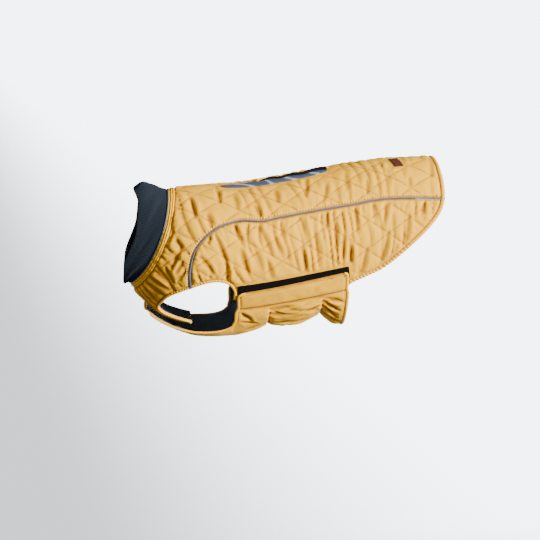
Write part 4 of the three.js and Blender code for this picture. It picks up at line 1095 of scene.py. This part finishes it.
collar_turns = 2 * np.pi * np.arange(RIBS * PER_RIB) / (RIBS * PER_RIB)
collar_rings, collar_groove_shade = [], []
for rise, depth in collar_rows():
    rises = np.full_like(collar_turns, rise)
    spot, normal = with_normal(collar_point, rises, collar_turns, 0.01, 0.005, sign=-1)
    rib = 0.5 - 0.5 * np.cos(RIBS * collar_turns)
    slouch = 1.6 * noise(collar_turns * 3.1 + 4 * rise, rises * 2.4, 41)
    slouch = slouch * math.sin(math.pi * min(rise, 1))
    inward = 0.9 * rib if depth > -COLLAR_WALL + 0.1 else -0.5 * rib
    collar_rings.append(spot + normal * (depth - inward + slouch)[:, None])
    # Painted shade in the grooves between the ribs.
    collar_groove_shade.append(rib * 0.8)
size = len(collar_turns)
collar_faces = []
for i in range(len(collar_rings)):
    j = (i + 1) % len(collar_rings)
    collar_faces += [[i * size + k, i * size + (k + 1) % size, j * size + (k + 1) % size, j * size + k]
                     for k in range(size)]
collar_points = np.vstack(collar_rings)
around = np.tile(collar_turns * 78, len(collar_rings))
along_neck = np.repeat(np.arange(len(collar_rings)) * 2.7, size)
collar = new_piece("collar_knit", collar_points, collar_faces, [knit],
                   uv=np.column_stack([around, along_neck]), crease=np.concatenate(collar_groove_shade))
if signed_volume(collar_points, collar_faces) < 0:
    collar.data.flip_normals()
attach(collar, "root")
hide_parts("collar_rib")
print("collar:", RIBS, "ribs,", len(collar_faces), "faces")

# %% [markdown]
# ## Neck band and its cord
# A casing covers the neck seam: two rolled ridges with a dark slot between them, drawn up a
# little by the cord inside. Beside the collar runs a thin grey piping.

# %% Neck band
def ring_surface(flat):
    return with_normal(body_point, flat[:, 0], flat[:, 1], 0.5, 0.005)


band_turns = 2 * np.pi * np.arange(540) / 540
band_path = np.column_stack([neck_station(band_turns, BAND_WIDTH / 2 + 0.4), band_turns])
band_spots, band_across, band_rise = frames_on(ring_surface, band_path, closed=True)
BAND_PROFILE = np.array([(-6.0, -4.6), (6.6, -4.6), (7.0, -1.8), (6.3, 0.9), (5.0, 1.9), (3.7, 1.2),
                         (2.7, -2.4), (1.9, 0.9), (0.4, 2.4), (-1.3, 1.9), (-2.3, -0.9), (-3.1, 1.2),
                         (-4.5, 1.9), (-5.7, 0.8), (-6.2, -1.2)])
BAND_SHADE = np.array([0, 0, 0.9, 0.2, 0, 0.3, 1.0, 0.3, 0, 0, 0.7, 0.1, 0, 0, 0.5])


def band_profile(i):
    t = band_turns[i]
    wave = noise(np.array([t * 13.0]), np.array([0.5]), 51)[0]
    small = noise(np.array([t * 37.0]), np.array([0.5]), 52)[0]
    profile = BAND_PROFILE.copy()
    profile[2:, 1] += 0.8 * wave + 0.5 * small
    profile[5:8, 0] += 1.3 * wave
    profile[9:12, 0] += 0.7 * small
    return profile


band = tube("neck_casing", band_spots, band_across, band_rise, band_profile, [binding], closed=True,
            crease=np.tile(BAND_SHADE, len(band_turns)))
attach(band, "root")
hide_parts("neck_band")
cord_path = np.column_stack([neck_station(band_turns, -0.6), band_turns])
cord_spots, cord_across, cord_rise = frames_on(ring_surface, cord_path, closed=True)
neck_cord = tube("neck_piping", cord_spots, cord_across, cord_rise, lambda i: oval(1.1, 1.1, 1.0, 8),
                 [reflective], closed=True)
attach(neck_cord, "root")
print("neck band:", len(band.data.polygons), "faces")

# %% [markdown]
# ## Bindings and pipings
# An edge binding is a strip folded over the raw edge and drawn tight, which makes it a flattened
# roll. Each one is swept along its own seam line, and swells and narrows where the edge is
# gathered. A short roll also closes the end of the chest's tongue.


# %% Rolled edges
def run_of(path):
    return np.insert(np.cumsum(np.hypot(*np.diff(path, axis=0).T)), 0, 0)


def rolled_edge(name, surface, path, half, thick, centre, gather, pitch, material, sides=12,
                **attributes):
    """A binding's roll; half and thick are half its width and height, pitch is the gathers' spacing."""
    spots, across, rise = frames_on(surface, path)
    run = run_of(path)
    gather = np.broadcast_to(gather, len(path))
    ripple = np.cos(2 * np.pi * (run / pitch + 0.4 * noise(run / (3 * pitch), run * 0, 61)))
    swell = 1 + gather * ripple
    half, thick = np.broadcast_to(half, len(path)), np.broadcast_to(thick, len(path))

    def profile(i):
        shape = oval(half[i], thick[i] * swell[i], centre, sides)
        shape[:, 0] *= 1 + 0.35 * gather[i] * ripple[i]
        return shape

    # Painted shade darkens the valleys of the gathers.
    piece = tube(name, spots, across, rise, profile, [material],
                 crease=np.clip(gather * (0.8 - ripple), 0, 1), **attributes)
    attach(piece, "root")
    return piece


hem_path = even(beside(hem_whole, HEM_WIDTH / 2), 1.6)
hem_pull = 0.10 + 0.26 * smooth(np.abs(hem_path[:, 1]), 190, 270)
hem = rolled_edge("hem_roll", body_surface, hem_path, half=HEM_WIDTH / 2 - 0.3, thick=3.5, centre=-1.2,
                  gather=hem_pull, pitch=7.5, material=binding)
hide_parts("hem_binding")

for side, sign in (("left", 1), ("right", -1)):
    flip = (1, sign)
    path = even(piping_half * flip, 2.0)
    low = smooth(np.abs(path[:, 1]), 190, 260)
    spots, across, rise = frames_on(body_surface, path)
    pipe = tube(f"piping_cord_{side}", spots, across, rise,
                lambda i: oval(1.55 + 0.9 * low[i], 1.5, 0.5, 10), [reflective])
    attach(pipe, "root")
    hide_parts(f"piping_{side}")

    path = even(beside(leg_half, -LEG_BINDING / 2) * flip, 1.4)
    tail = run_of(path) / run_of(path)[-1]
    end = 1 - 0.75 * smooth(run_of(path), run_of(path)[-1] - 9, run_of(path)[-1])
    roll = rolled_edge(f"leg_roll_{side}", body_surface, path,
                       half=LEG_BINDING / 2 * (1 - 0.35 * smooth(tail, 0.5, 0.62)) * end,
                       thick=2.6 * end, centre=-1.2, gather=0.30 * (1 - smooth(tail, 0.52, 0.66)),
                       pitch=6.0, material=binding, sides=10, pale=smooth(tail, 0.5, 0.62))
    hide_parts(f"leg_binding_{side}")
tongue_edge = even(np.array([(tongue - 1, -30.5), (tongue - 1, 30.5)]), 1.5)
tongue_roll = rolled_edge("tongue_roll", chest_surface, tongue_edge, half=3.4, thick=2.6, centre=-1.2,
                          gather=0.1, pitch=8, material=binding, pale=np.ones(len(tongue_edge)))
print("edges done")

# %% [markdown]
# ## Fastening
# Loop tape is sewn flat on each side panel, and the belly panel's wing closes over it, so that
# only its upper strip shows. Both follow the body form; the wing stands a little higher.

# %% Flat patches
LOOP_TAPE = ((136, 273), (364, 257), (370, 284), (361, 295), (141, 302))
WING_BAND = ((136, 290), (365, 269), (369, 312), (141, 331))
BELLY_BINDING = 6.4


def rounded(corners, radii):
    """Corner points with each corner replaced by a small arc, as scissors would cut it."""
    points, rows = np.array(corners, float), []
    for before, at, after, radius in zip(np.roll(points, 1, axis=0), points,
                                         np.roll(points, -1, axis=0), radii):
        if radius == 0:
            rows.append(at[None])
            continue
        first = at + radius * (before - at) / np.linalg.norm(before - at)
        last = at + radius * (after - at) / np.linalg.norm(after - at)
        t = np.linspace(0, 1, 8)[:, None]
        rows.append((1 - t) ** 2 * first + 2 * t * (1 - t) * at + t**2 * last)
    return np.vstack(rows)


def cornered(corners, step=FINE):
    points = np.array(corners, float)
    runs = [even(np.vstack([a, b]), step)[:-1] for a, b in zip(points, np.roll(points, -1, axis=0))]
    outline = np.vstack(runs)
    return outline if area_of(outline) > 0 else outline[::-1]


def on_side(rows, sign):
    return [(length, -sign * girth) for length, girth in rows]


def tape_relief(flat):
    return 0.25 * noise(flat[:, 0] / 5, flat[:, 1] / 5, 71)


def wing_relief(flat):
    slow = 1.0 * noise(flat[:, 0] / 30, flat[:, 1] / 16, 73)
    quick = 0.4 * noise(flat[:, 0] / 9, flat[:, 1] / 12, 74)
    return 0.6 + (slow + quick) + 0.7 * puff(flat)


flat_cuts, wing_heights = {}, {}
for side, sign in (("left", 1), ("right", -1)):
    outline = cornered(on_side(LOOP_TAPE, sign))
    tape, _ = wall(f"loop_tape_{side}_pile", outline, body_surface, tape_relief,
                   square_grid(outline, 4.0), top=1.9, thick=1.5, edge_drop=0.6, edge_width=2,
                   inner_step=9, outside=loop_fabric, within=loop_fabric)
    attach(tape, "root")
    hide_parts(f"loop_tape_{side}")
    flat_cuts[tape.name] = outline
    inset = BELLY_BINDING - 1
    rows = [(length + (inset if k in (0, 3) else -inset), girth)
            for k, (length, girth) in enumerate(WING_BAND)]
    outline = cornered(rounded(on_side(rows, sign), (9, 4, 0, 0)))
    wing, wing_height = wall(f"wing_cloth_{side}", outline, body_surface, wing_relief,
                             square_grid(outline, 3.0), top=6.0, thick=3.7, edge_drop=1.4, edge_width=3,
                             inner_step=10, outside=plain_shell)
    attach(wing, "root")
    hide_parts(f"wing_band_{side}")
    flat_cuts[wing.name] = outline
    wing_heights[side] = wing_height

# %% [markdown]
# ## Belly panel
# The panel hangs like a hammock from the two wings. Two elastic channels pull it in, so the cloth
# between them swells, and folds fan out from each channel. Its strap runs forward between the
# legs, and a short roll closes the strap's tip.

# %% The hanging form
# columns: x, lowest z, depth, reach of the strap
BELLY = np.array([
    (-62, -238, 60, 24), (-50, -249, 60, 34), (-39, -258, 60, 43), (-14, -272, 75, 56),
    (6, -282, 92, 64), (47, -294, 107, 72), (90, -297, 124, 75), (122, -295, 155, 82),
    (143, -291, 151, 200), (170, -280, 140, 200), (190, -270, 130, 200), (206, -276, 136, 200),
    (241, -274, 134, 200), (273, -265, 125, 200), (300, -252, 112, 200), (322, -265, 125, 200),
    (342, -276, 136, 200), (372, -280, 140, 200)], float)
BELLY_FRONT, BELLY_REAR, STRAP_TIP, STRAP_HALF = 119.0, 356.0, -58.0, 116.0
ELASTICS, SAG = (190.0, 300.0), 9.0
seam_length = np.linspace(WING_BAND[3][0], WING_BAND[2][0], 25)
seam_girth = np.linspace(WING_BAND[3][1], WING_BAND[2][1], 25)
wing_seam_3d = body_surface(np.column_stack([seam_length, seam_girth]))[0]


def belly_form(x):
    low, depth = column(BELLY, 1, x), column(BELLY, 2, x)
    middle = low + depth
    at = np.maximum(x, wing_seam_3d[0, 0])
    top = np.arccos(np.clip((middle - column(wing_seam_3d, 2, at)) / depth, -1, 1))
    half = column(wing_seam_3d, 1, at) / np.sin(top)
    strap = x < BELLY_FRONT - 1
    return depth, middle, np.where(strap, math.radians(90), top), np.where(strap, STRAP_HALF, half)


def belly_runs(x):
    depth, middle, top, half = belly_form(x)
    turns = np.radians(np.arange(120) + 0.5)
    steps = math.radians(1) * np.hypot(half[:, None] * np.cos(turns), depth[:, None] * np.sin(turns))
    return np.insert(np.cumsum(steps, axis=1), 0, 0, axis=1), (depth, middle, top, half)


def belly_point(x, girth):
    runs, (depth, middle, _, half) = belly_runs(x)
    reach = np.abs(girth)
    k = np.clip((runs < reach[:, None]).sum(axis=1) - 1, 0, 119)
    rows = np.arange(len(x))
    share = (reach - runs[rows, k]) / (runs[rows, k + 1] - runs[rows, k])
    angle = np.sign(girth) * np.radians(k + share)
    sag = SAG * smooth(x, STRAP_TIP, 45) * np.clip(np.cos(angle), 0, 1)
    return np.stack([x, half * np.sin(angle), middle - (depth + sag) * np.cos(angle)], -1)


def belly_surface(flat):
    return with_normal(belly_point, flat[:, 0], flat[:, 1], 1.0, 1.0, sign=-1)


def belly_top(x):
    runs, (_, _, top, _) = belly_runs(x)
    degrees = np.degrees(top)
    k = np.clip(degrees.astype(int), 0, 119)
    rows = np.arange(len(x))
    return runs[rows, k] + (degrees - k) * (runs[rows, k + 1] - runs[rows, k])


# %% Belly panel
front_x = BELLY_FRONT + 4
strap_rows = [(row[0], row[3]) for row in BELLY if -58 < row[0] < 100]
strap_rows += [(110, 80), (119, 93), (120, 108), (121, float(belly_top(np.array([front_x]))[0]))]
strap_edge = spline(np.array(strap_rows), FINE)
seam_x = np.arange(front_x, BELLY_REAR, FINE)
wing_seam = np.column_stack([seam_x, belly_top(seam_x) + 1.0])
rear_reach = float(belly_top(np.array([BELLY_REAR]))[0])
rear_edge = even(np.array([(BELLY_REAR, -rear_reach), (BELLY_REAR, rear_reach)]), FINE)
belly_inset = BELLY_BINDING - 1
tip_half = BELLY[0, 3]
belly_outline = outline_of([
    np.array([(STRAP_TIP, tip_half), (STRAP_TIP, -tip_half)]), beside(strap_edge * (1, -1), belly_inset),
    wing_seam * (1, -1), beside(rear_edge, belly_inset), wing_seam[::-1],
    beside(strap_edge[::-1], belly_inset)], FINE)


def fan_of(flat, centre, count, turn, depth, reach):
    """Folds that spread from one point, strongest a little way out."""
    dx, dg = flat[:, 0] - centre[0], centre[1] - np.abs(flat[:, 1])
    distance = np.hypot(dx, dg)
    angle = np.arctan2(dg, dx)
    wave = np.abs(np.cos(count * (angle - turn) + 0.5 * noise(dx / 22, dg / 18, 87))) - 0.55
    return depth * wave * smooth(distance, 2, 14) * np.exp(-(distance / reach) ** 2)


def step_profile(x):
    """Height along the panel: each part swells towards the rear and drops at the next elastic."""
    first, second = ELASTICS
    front = 0.5 + 4.5 * smooth(x, BELLY_FRONT + 8, first - 8) * (1 - smooth(x, first - 2, first + 3))
    middle = -2.2 + 6.4 * smooth(x, first + 4, second - 38) * (1 - smooth(x, second - 3, second + 2))
    rear = -2.4 + 4.2 * smooth(x, second + 4, BELLY_REAR - 16)
    return np.where(x < first + 3, front - 2.7 * smooth(x, first - 2, first + 3),
                    np.where(x < second + 2, middle, rear))


# columns: x, reach from the middle, half length, width, depth, lean in degrees
BELLY_CREASES = (
    (144, 106, 17, 4.5, 4.2, -40), (160, 123, 20, 4, 2.4, 88), (152, 84, 16, 5, 2.8, -62),
    (212, 113, 24, 4.5, 4.6, 82), (215, 92, 26, 4.5, 4.2, 90), (205, 103, 11, 3.5, 3.2, 115),
    (238, 104, 18, 4, 3.0, 96), (278, 117, 20, 5, 1.8, 100), (275, 93, 16, 5, 2.8, 75),
    (324, 113, 20, 4, 4.8, 90), (318, 96, 20, 4, 5.0, 110), (316, 80, 21, 4, 5.0, 125),
    (160, 60, 22, 6, 3.0, 80), (245, 62, 30, 6, 3.4, 86), (255, 30, 26, 6, 3.2, 98),
    (325, 52, 20, 5, 3.6, 100), (150, 28, 20, 6, 2.8, 95), (330, 22, 18, 5, 3.2, 84))


def belly_relief(flat):
    x, reach = flat[:, 0], np.abs(flat[:, 1])
    drift = 0.8 * noise(x / 50, flat[:, 1] / 30, 81) + 0.3 * noise(x / 22, flat[:, 1] / 16, 82)
    in_middle = smooth(x, ELASTICS[0], ELASTICS[0] + 10) * (
        1 - smooth(x, ELASTICS[1] - 30, ELASTICS[1]))
    level = (np.abs(np.cos(np.pi * (reach / 22 + drift))) - 0.5) * (1.0 + 1.4 * in_middle)
    level = level + 1.1 * creases(flat, BELLY_CREASES)
    fans = fan_of(flat, (BELLY_FRONT + 7, 122), 2.6, 0.15, 2.0, 46)
    fans += fan_of(flat, (ELASTICS[0] + 2, 106), 3.4, 0.3, 2.4, 40) * (x > ELASTICS[0] + 2)
    fans += fan_of(flat, (ELASTICS[1] + 2, 104), 3.6, 0.2, 2.2, 48) * (x > ELASTICS[1] + 2)
    below = smooth(belly_top(x) - reach, 3, 20)
    strap = smooth(x, BELLY_FRONT - 30, BELLY_FRONT + 8)
    return strap * (0.3 + 0.7 * below) * (step_profile(x) + level + fans) + (
        0.5 * noise(x / 14, flat[:, 1] / 14, 83))


belly, belly_height = wall("belly_cloth", belly_outline, belly_surface, belly_relief,
                           square_grid(belly_outline, 2.6), top=4.6, thick=3.6, edge_drop=1.4,
                           edge_width=3, inner_step=8, outside=plain_shell)
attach(belly, "root")
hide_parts("belly_panel")

# %% Belly panel bindings
def joined_frames(parts):
    """Frames of several runs on different surfaces, end to end."""
    spots, across, rise = (np.vstack(rows) for rows in zip(*(
        [f[cut] for f in frames_on(surface, path)] for surface, path, cut in parts)))
    return spots, across, rise


def belly_roll(name, node, parts):
    spots, across, rise = joined_frames(parts)
    piece = tube(name, spots, across, rise, lambda i: oval(BELLY_BINDING / 2, 2.1, 4.4, 10), [binding])
    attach(piece, "root")
    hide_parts(node)


def wing_side(columns, sign, inward):
    (length_a, girth_a), (length_b, girth_b) = WING_BAND[columns[0]], WING_BAND[columns[1]]
    shift = inward * BELLY_BINDING / 2
    top = columns[0] in (0, 1)
    radius = 14 if 0 in columns else 7
    high, low = (length_a, girth_a), (length_b, girth_b)
    if not top:
        high, low = low, high
    bend = rounded([(high[0] + shift + inward * radius, high[1] + 1.5), (high[0] + shift, high[1] + 1.5),
                    (low[0] + shift, low[1])], (0, radius, 0))
    path = even(bend * (1, -sign), 2.0)
    return path if top else path[::-1]


rear_mid = beside(rear_edge, BELLY_BINDING / 2)
belly_roll("belly_rear_roll", "belly_rear_binding", [
    (body_surface, wing_side((1, 2), 1, -1), slice(0, -2)),
    (belly_surface, rear_mid, slice(2, -2)),
    (body_surface, wing_side((2, 1), -1, -1), slice(2, None))])
for side, sign in (("left", 1), ("right", -1)):
    edge = beside(strap_edge[::-1], BELLY_BINDING / 2) * (1, -sign)
    belly_roll(f"belly_front_roll_{side}", f"belly_front_binding_{side}", [
        (body_surface, wing_side((0, 3), sign, 1), slice(0, -2)),
        (belly_surface, edge, slice(2, None))])
strap_tip = even(np.array([(STRAP_TIP, tip_half - 1), (STRAP_TIP, 1 - tip_half)]), 2.0)
strap_tip_roll = rolled_edge("strap_tip_roll", belly_surface, strap_tip, half=4.2, thick=2.6, centre=3.0,
                             gather=0.1, pitch=9, material=binding)
print("belly panel done")

# %% [markdown]
# ## Harness opening and label
# Left of the spine a welt of reflective tape covers a zip, through which a lead reaches the
# harness. The welt is creased across. Near the tail sits a bare leather label, stitched along its
# short ends; its stitching is not drawn.

# %% Harness opening and label
def tape_creases(flat):
    return 0.9 * np.abs(noise((flat[:, 0] + 0.9 * flat[:, 1]) / 14, flat[:, 1] / 40, 91)) - 0.2


def between(first, second):
    outline = np.vstack([first, second[::-1]])
    return outline if area_of(outline) > 0 else outline[::-1]


welt_outline = between(smooth_path(WELT_LOW), smooth_path(WELT_TOP))
welt, _ = wall("welt_tape", welt_outline, body_surface, tape_creases, square_grid(welt_outline, 3.0),
               top=2.2, thick=1.7, edge_drop=0.5, edge_width=2, inner_step=9, outside=reflective,
               within=reflective)
# The welt gets the painted glint streaks of the reflective tape.
welt.data.attributes["pale"].data.foreach_set("value", np.ones(len(welt.data.vertices)))
zip_low = [row for row in WELT_TOP if row[0] > 170]
zip_edge = smooth_path([(length, girth - 0.5) for length, girth in zip_low])
zip_outline = between(zip_edge, smooth_path(ZIP_TOP))
welt_edge = smooth_path(WELT_TOP)
zip_strip, _ = wall("zip_strip", zip_outline, body_surface,
                    lambda flat: 4.2 * smooth(nearest(flat, welt_edge)[0], 0, 9),
                    square_grid(zip_outline, 2.2), top=1.4, thick=1.2, edge_drop=0.2, edge_width=1,
                    inner_step=9, outside=zip_fabric, within=zip_fabric, fade=0.5)
label_outline = cornered(on_side(LABEL, 1), 2.0)
label, _ = wall("label_patch", label_outline, body_surface,
                lambda flat: 0.2 * noise(flat[:, 0] / 12, flat[:, 1] / 12, 93),
                square_grid(label_outline, 2.5), top=2.1, thick=1.6, edge_drop=0.5, edge_width=1.5,
                inner_step=8, outside=leather, within=leather)
for piece, node, name in ((welt, "harness_welt", "reflective"), (zip_strip, "zip_tape", "black_tape"),
                          (label, "leather_label", "leather")):
    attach(piece, "root")
    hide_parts(node)

# %% [markdown]
# ## Topstitching
# Rows of thread hold the seams down: a two-coloured ladder beside the piping, a row along the
# hem, and on the wings dark rows and bar tacks, short bars where the cloth would tear. Each
# stitch is a grain of thread with a few dozen faces, laid at the height of the cloth under it,
# and each row is one piece.

# %% Stitch rows
def on_cloth(height, path, pitch, extra=0.25):
    return height(even(path, pitch)) + extra


LADDER_PITCH, LADDER_OFFSET = 5.8, 6.4
STITCH, STITCH_OFFSET, STITCH_SIZE = 3.8, 2.2, (3.1, 0.75)
for side, sign in (("left", 1), ("right", -1)):
    ladder = beside(piping_half, LADDER_OFFSET) * (1, sign)
    for shade, cotton, cut_off in (("pale", thread, 6), ("dark", dark_thread, 5)):
        path = even(ladder[cut_off:-6], LADDER_PITCH / 2)
        path = path[::2][:-1] if shade == "pale" else path[1::2]
        stitches(f"ladder_{shade}_{side}", body_surface, path, on_cloth(back_height, path, LADDER_PITCH),
                 pitch=LADDER_PITCH, size=(5.8, 1.1 if shade == "pale" else 0.9), lean=62 * sign,
                 material=cotton)
    path = beside(hem_half[::-1], -HEM_WIDTH - STITCH_OFFSET) * (1, sign)
    low = path[np.abs(path[:, 1]) > 131]
    stitches(f"flank_stitch_{side}", body_surface, low[:-4],
             on_cloth(side_heights[side], low[:-4], STITCH), pitch=STITCH, size=STITCH_SIZE)
high = beside(hem_whole, HEM_WIDTH + STITCH_OFFSET)
high = high[np.abs(high[:, 1]) < 122]
stitches("tail_stitch", body_surface, high, on_cloth(back_height, high, STITCH), pitch=STITCH,
         size=STITCH_SIZE)
print("stitches done")

# %% Stitches of the belly panel
for side, sign in (("left", 1), ("right", -1)):
    corners = left_half(WING_BAND) * (1, sign)
    drop = np.array([0, -sign * 3.6])
    top_row = even(np.vstack([corners[0] + (14, 0), corners[1] - (9, 0)]) + drop, 4.4)
    stitches(f"wing_top_stitch_{side}", body_surface, top_row,
             on_cloth(wing_heights[side], top_row, 4.4), pitch=4.4, size=(2.9, 0.6),
             material=dark_thread)
    seam_row = even(np.vstack([corners[3] + (7, 0), corners[2] - (9, 0)]) - drop * 0.55, 4.2)
    stitches(f"wing_seam_stitch_{side}", body_surface, seam_row,
             on_cloth(wing_heights[side], seam_row, 5.0), pitch=5.0, size=(3.4, 0.95),
             material=dark_thread)
    for k, (at, lean) in enumerate(((corners[0] + (8, -sign * 7), 60), (corners[1] + (-8, -sign * 6), 60),
                                    (corners[1] + (-36, -sign * 7), 20))):
        bar = np.array([at - (1.6, 0), at + (1.6, 0)])
        stitches(f"bar_tack_{side}_{k}", body_surface, bar, on_cloth(wing_heights[side], bar, 1.6),
                 pitch=1.6, size=(4.6, 0.9), lean=lean, material=dark_thread)
rear_row = beside(rear_edge, BELLY_BINDING + 2.4)
stitches("belly_rear_stitch", belly_surface, rear_row, on_cloth(belly_height, rear_row, STITCH),
         pitch=STITCH, size=(3.1, 0.7))

# %% [markdown]
# ## Cloth facts
# Each piece of cloth is listed below with its flat size, in calls that do nothing with it. For panels and
# tapes that is the outline drawn above, before folds and puffs; the chest is taken to be cut 1.4 times as
# wide as it lies, a guess. The collar shows 65 mm of knit at the nape and 15 mm at the throat. As rib
# knit is, it is taken to be cut shorter than the neck seam and stretched to it. The casing's strip
# measures
# 27 mm over its ridges and is a little longer than its line round the neck, which is 623 mm.


def cut(name, outline, held, rests_on, fullness=1.0):
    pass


cut("back_cloth", back_outline, "draped", ["neck_casing"])
cut("side_cloth_left", side_outline, "hung", ["back_cloth"])
cut("side_cloth_right", side_outline, "hung", ["back_cloth"])
cut("chest_cloth", chest_outline, "gathered", ["neck_casing"], fullness=1.4)
cut("belly_cloth", belly_outline, "hung", ["wing_cloth_left", "wing_cloth_right"])
for side in ("left", "right"):
    cut(f"loop_tape_{side}_pile", flat_cuts[f"loop_tape_{side}_pile"], "laid", [f"side_cloth_{side}"])
    cut(f"wing_cloth_{side}", flat_cuts[f"wing_cloth_{side}"], "laid", [f"loop_tape_{side}_pile"])
cut("welt_tape", welt_outline, "laid", ["back_cloth"])
cut("zip_strip", zip_outline, "laid", ["back_cloth"])
cut("label_patch", label_outline, "laid", ["back_cloth"])
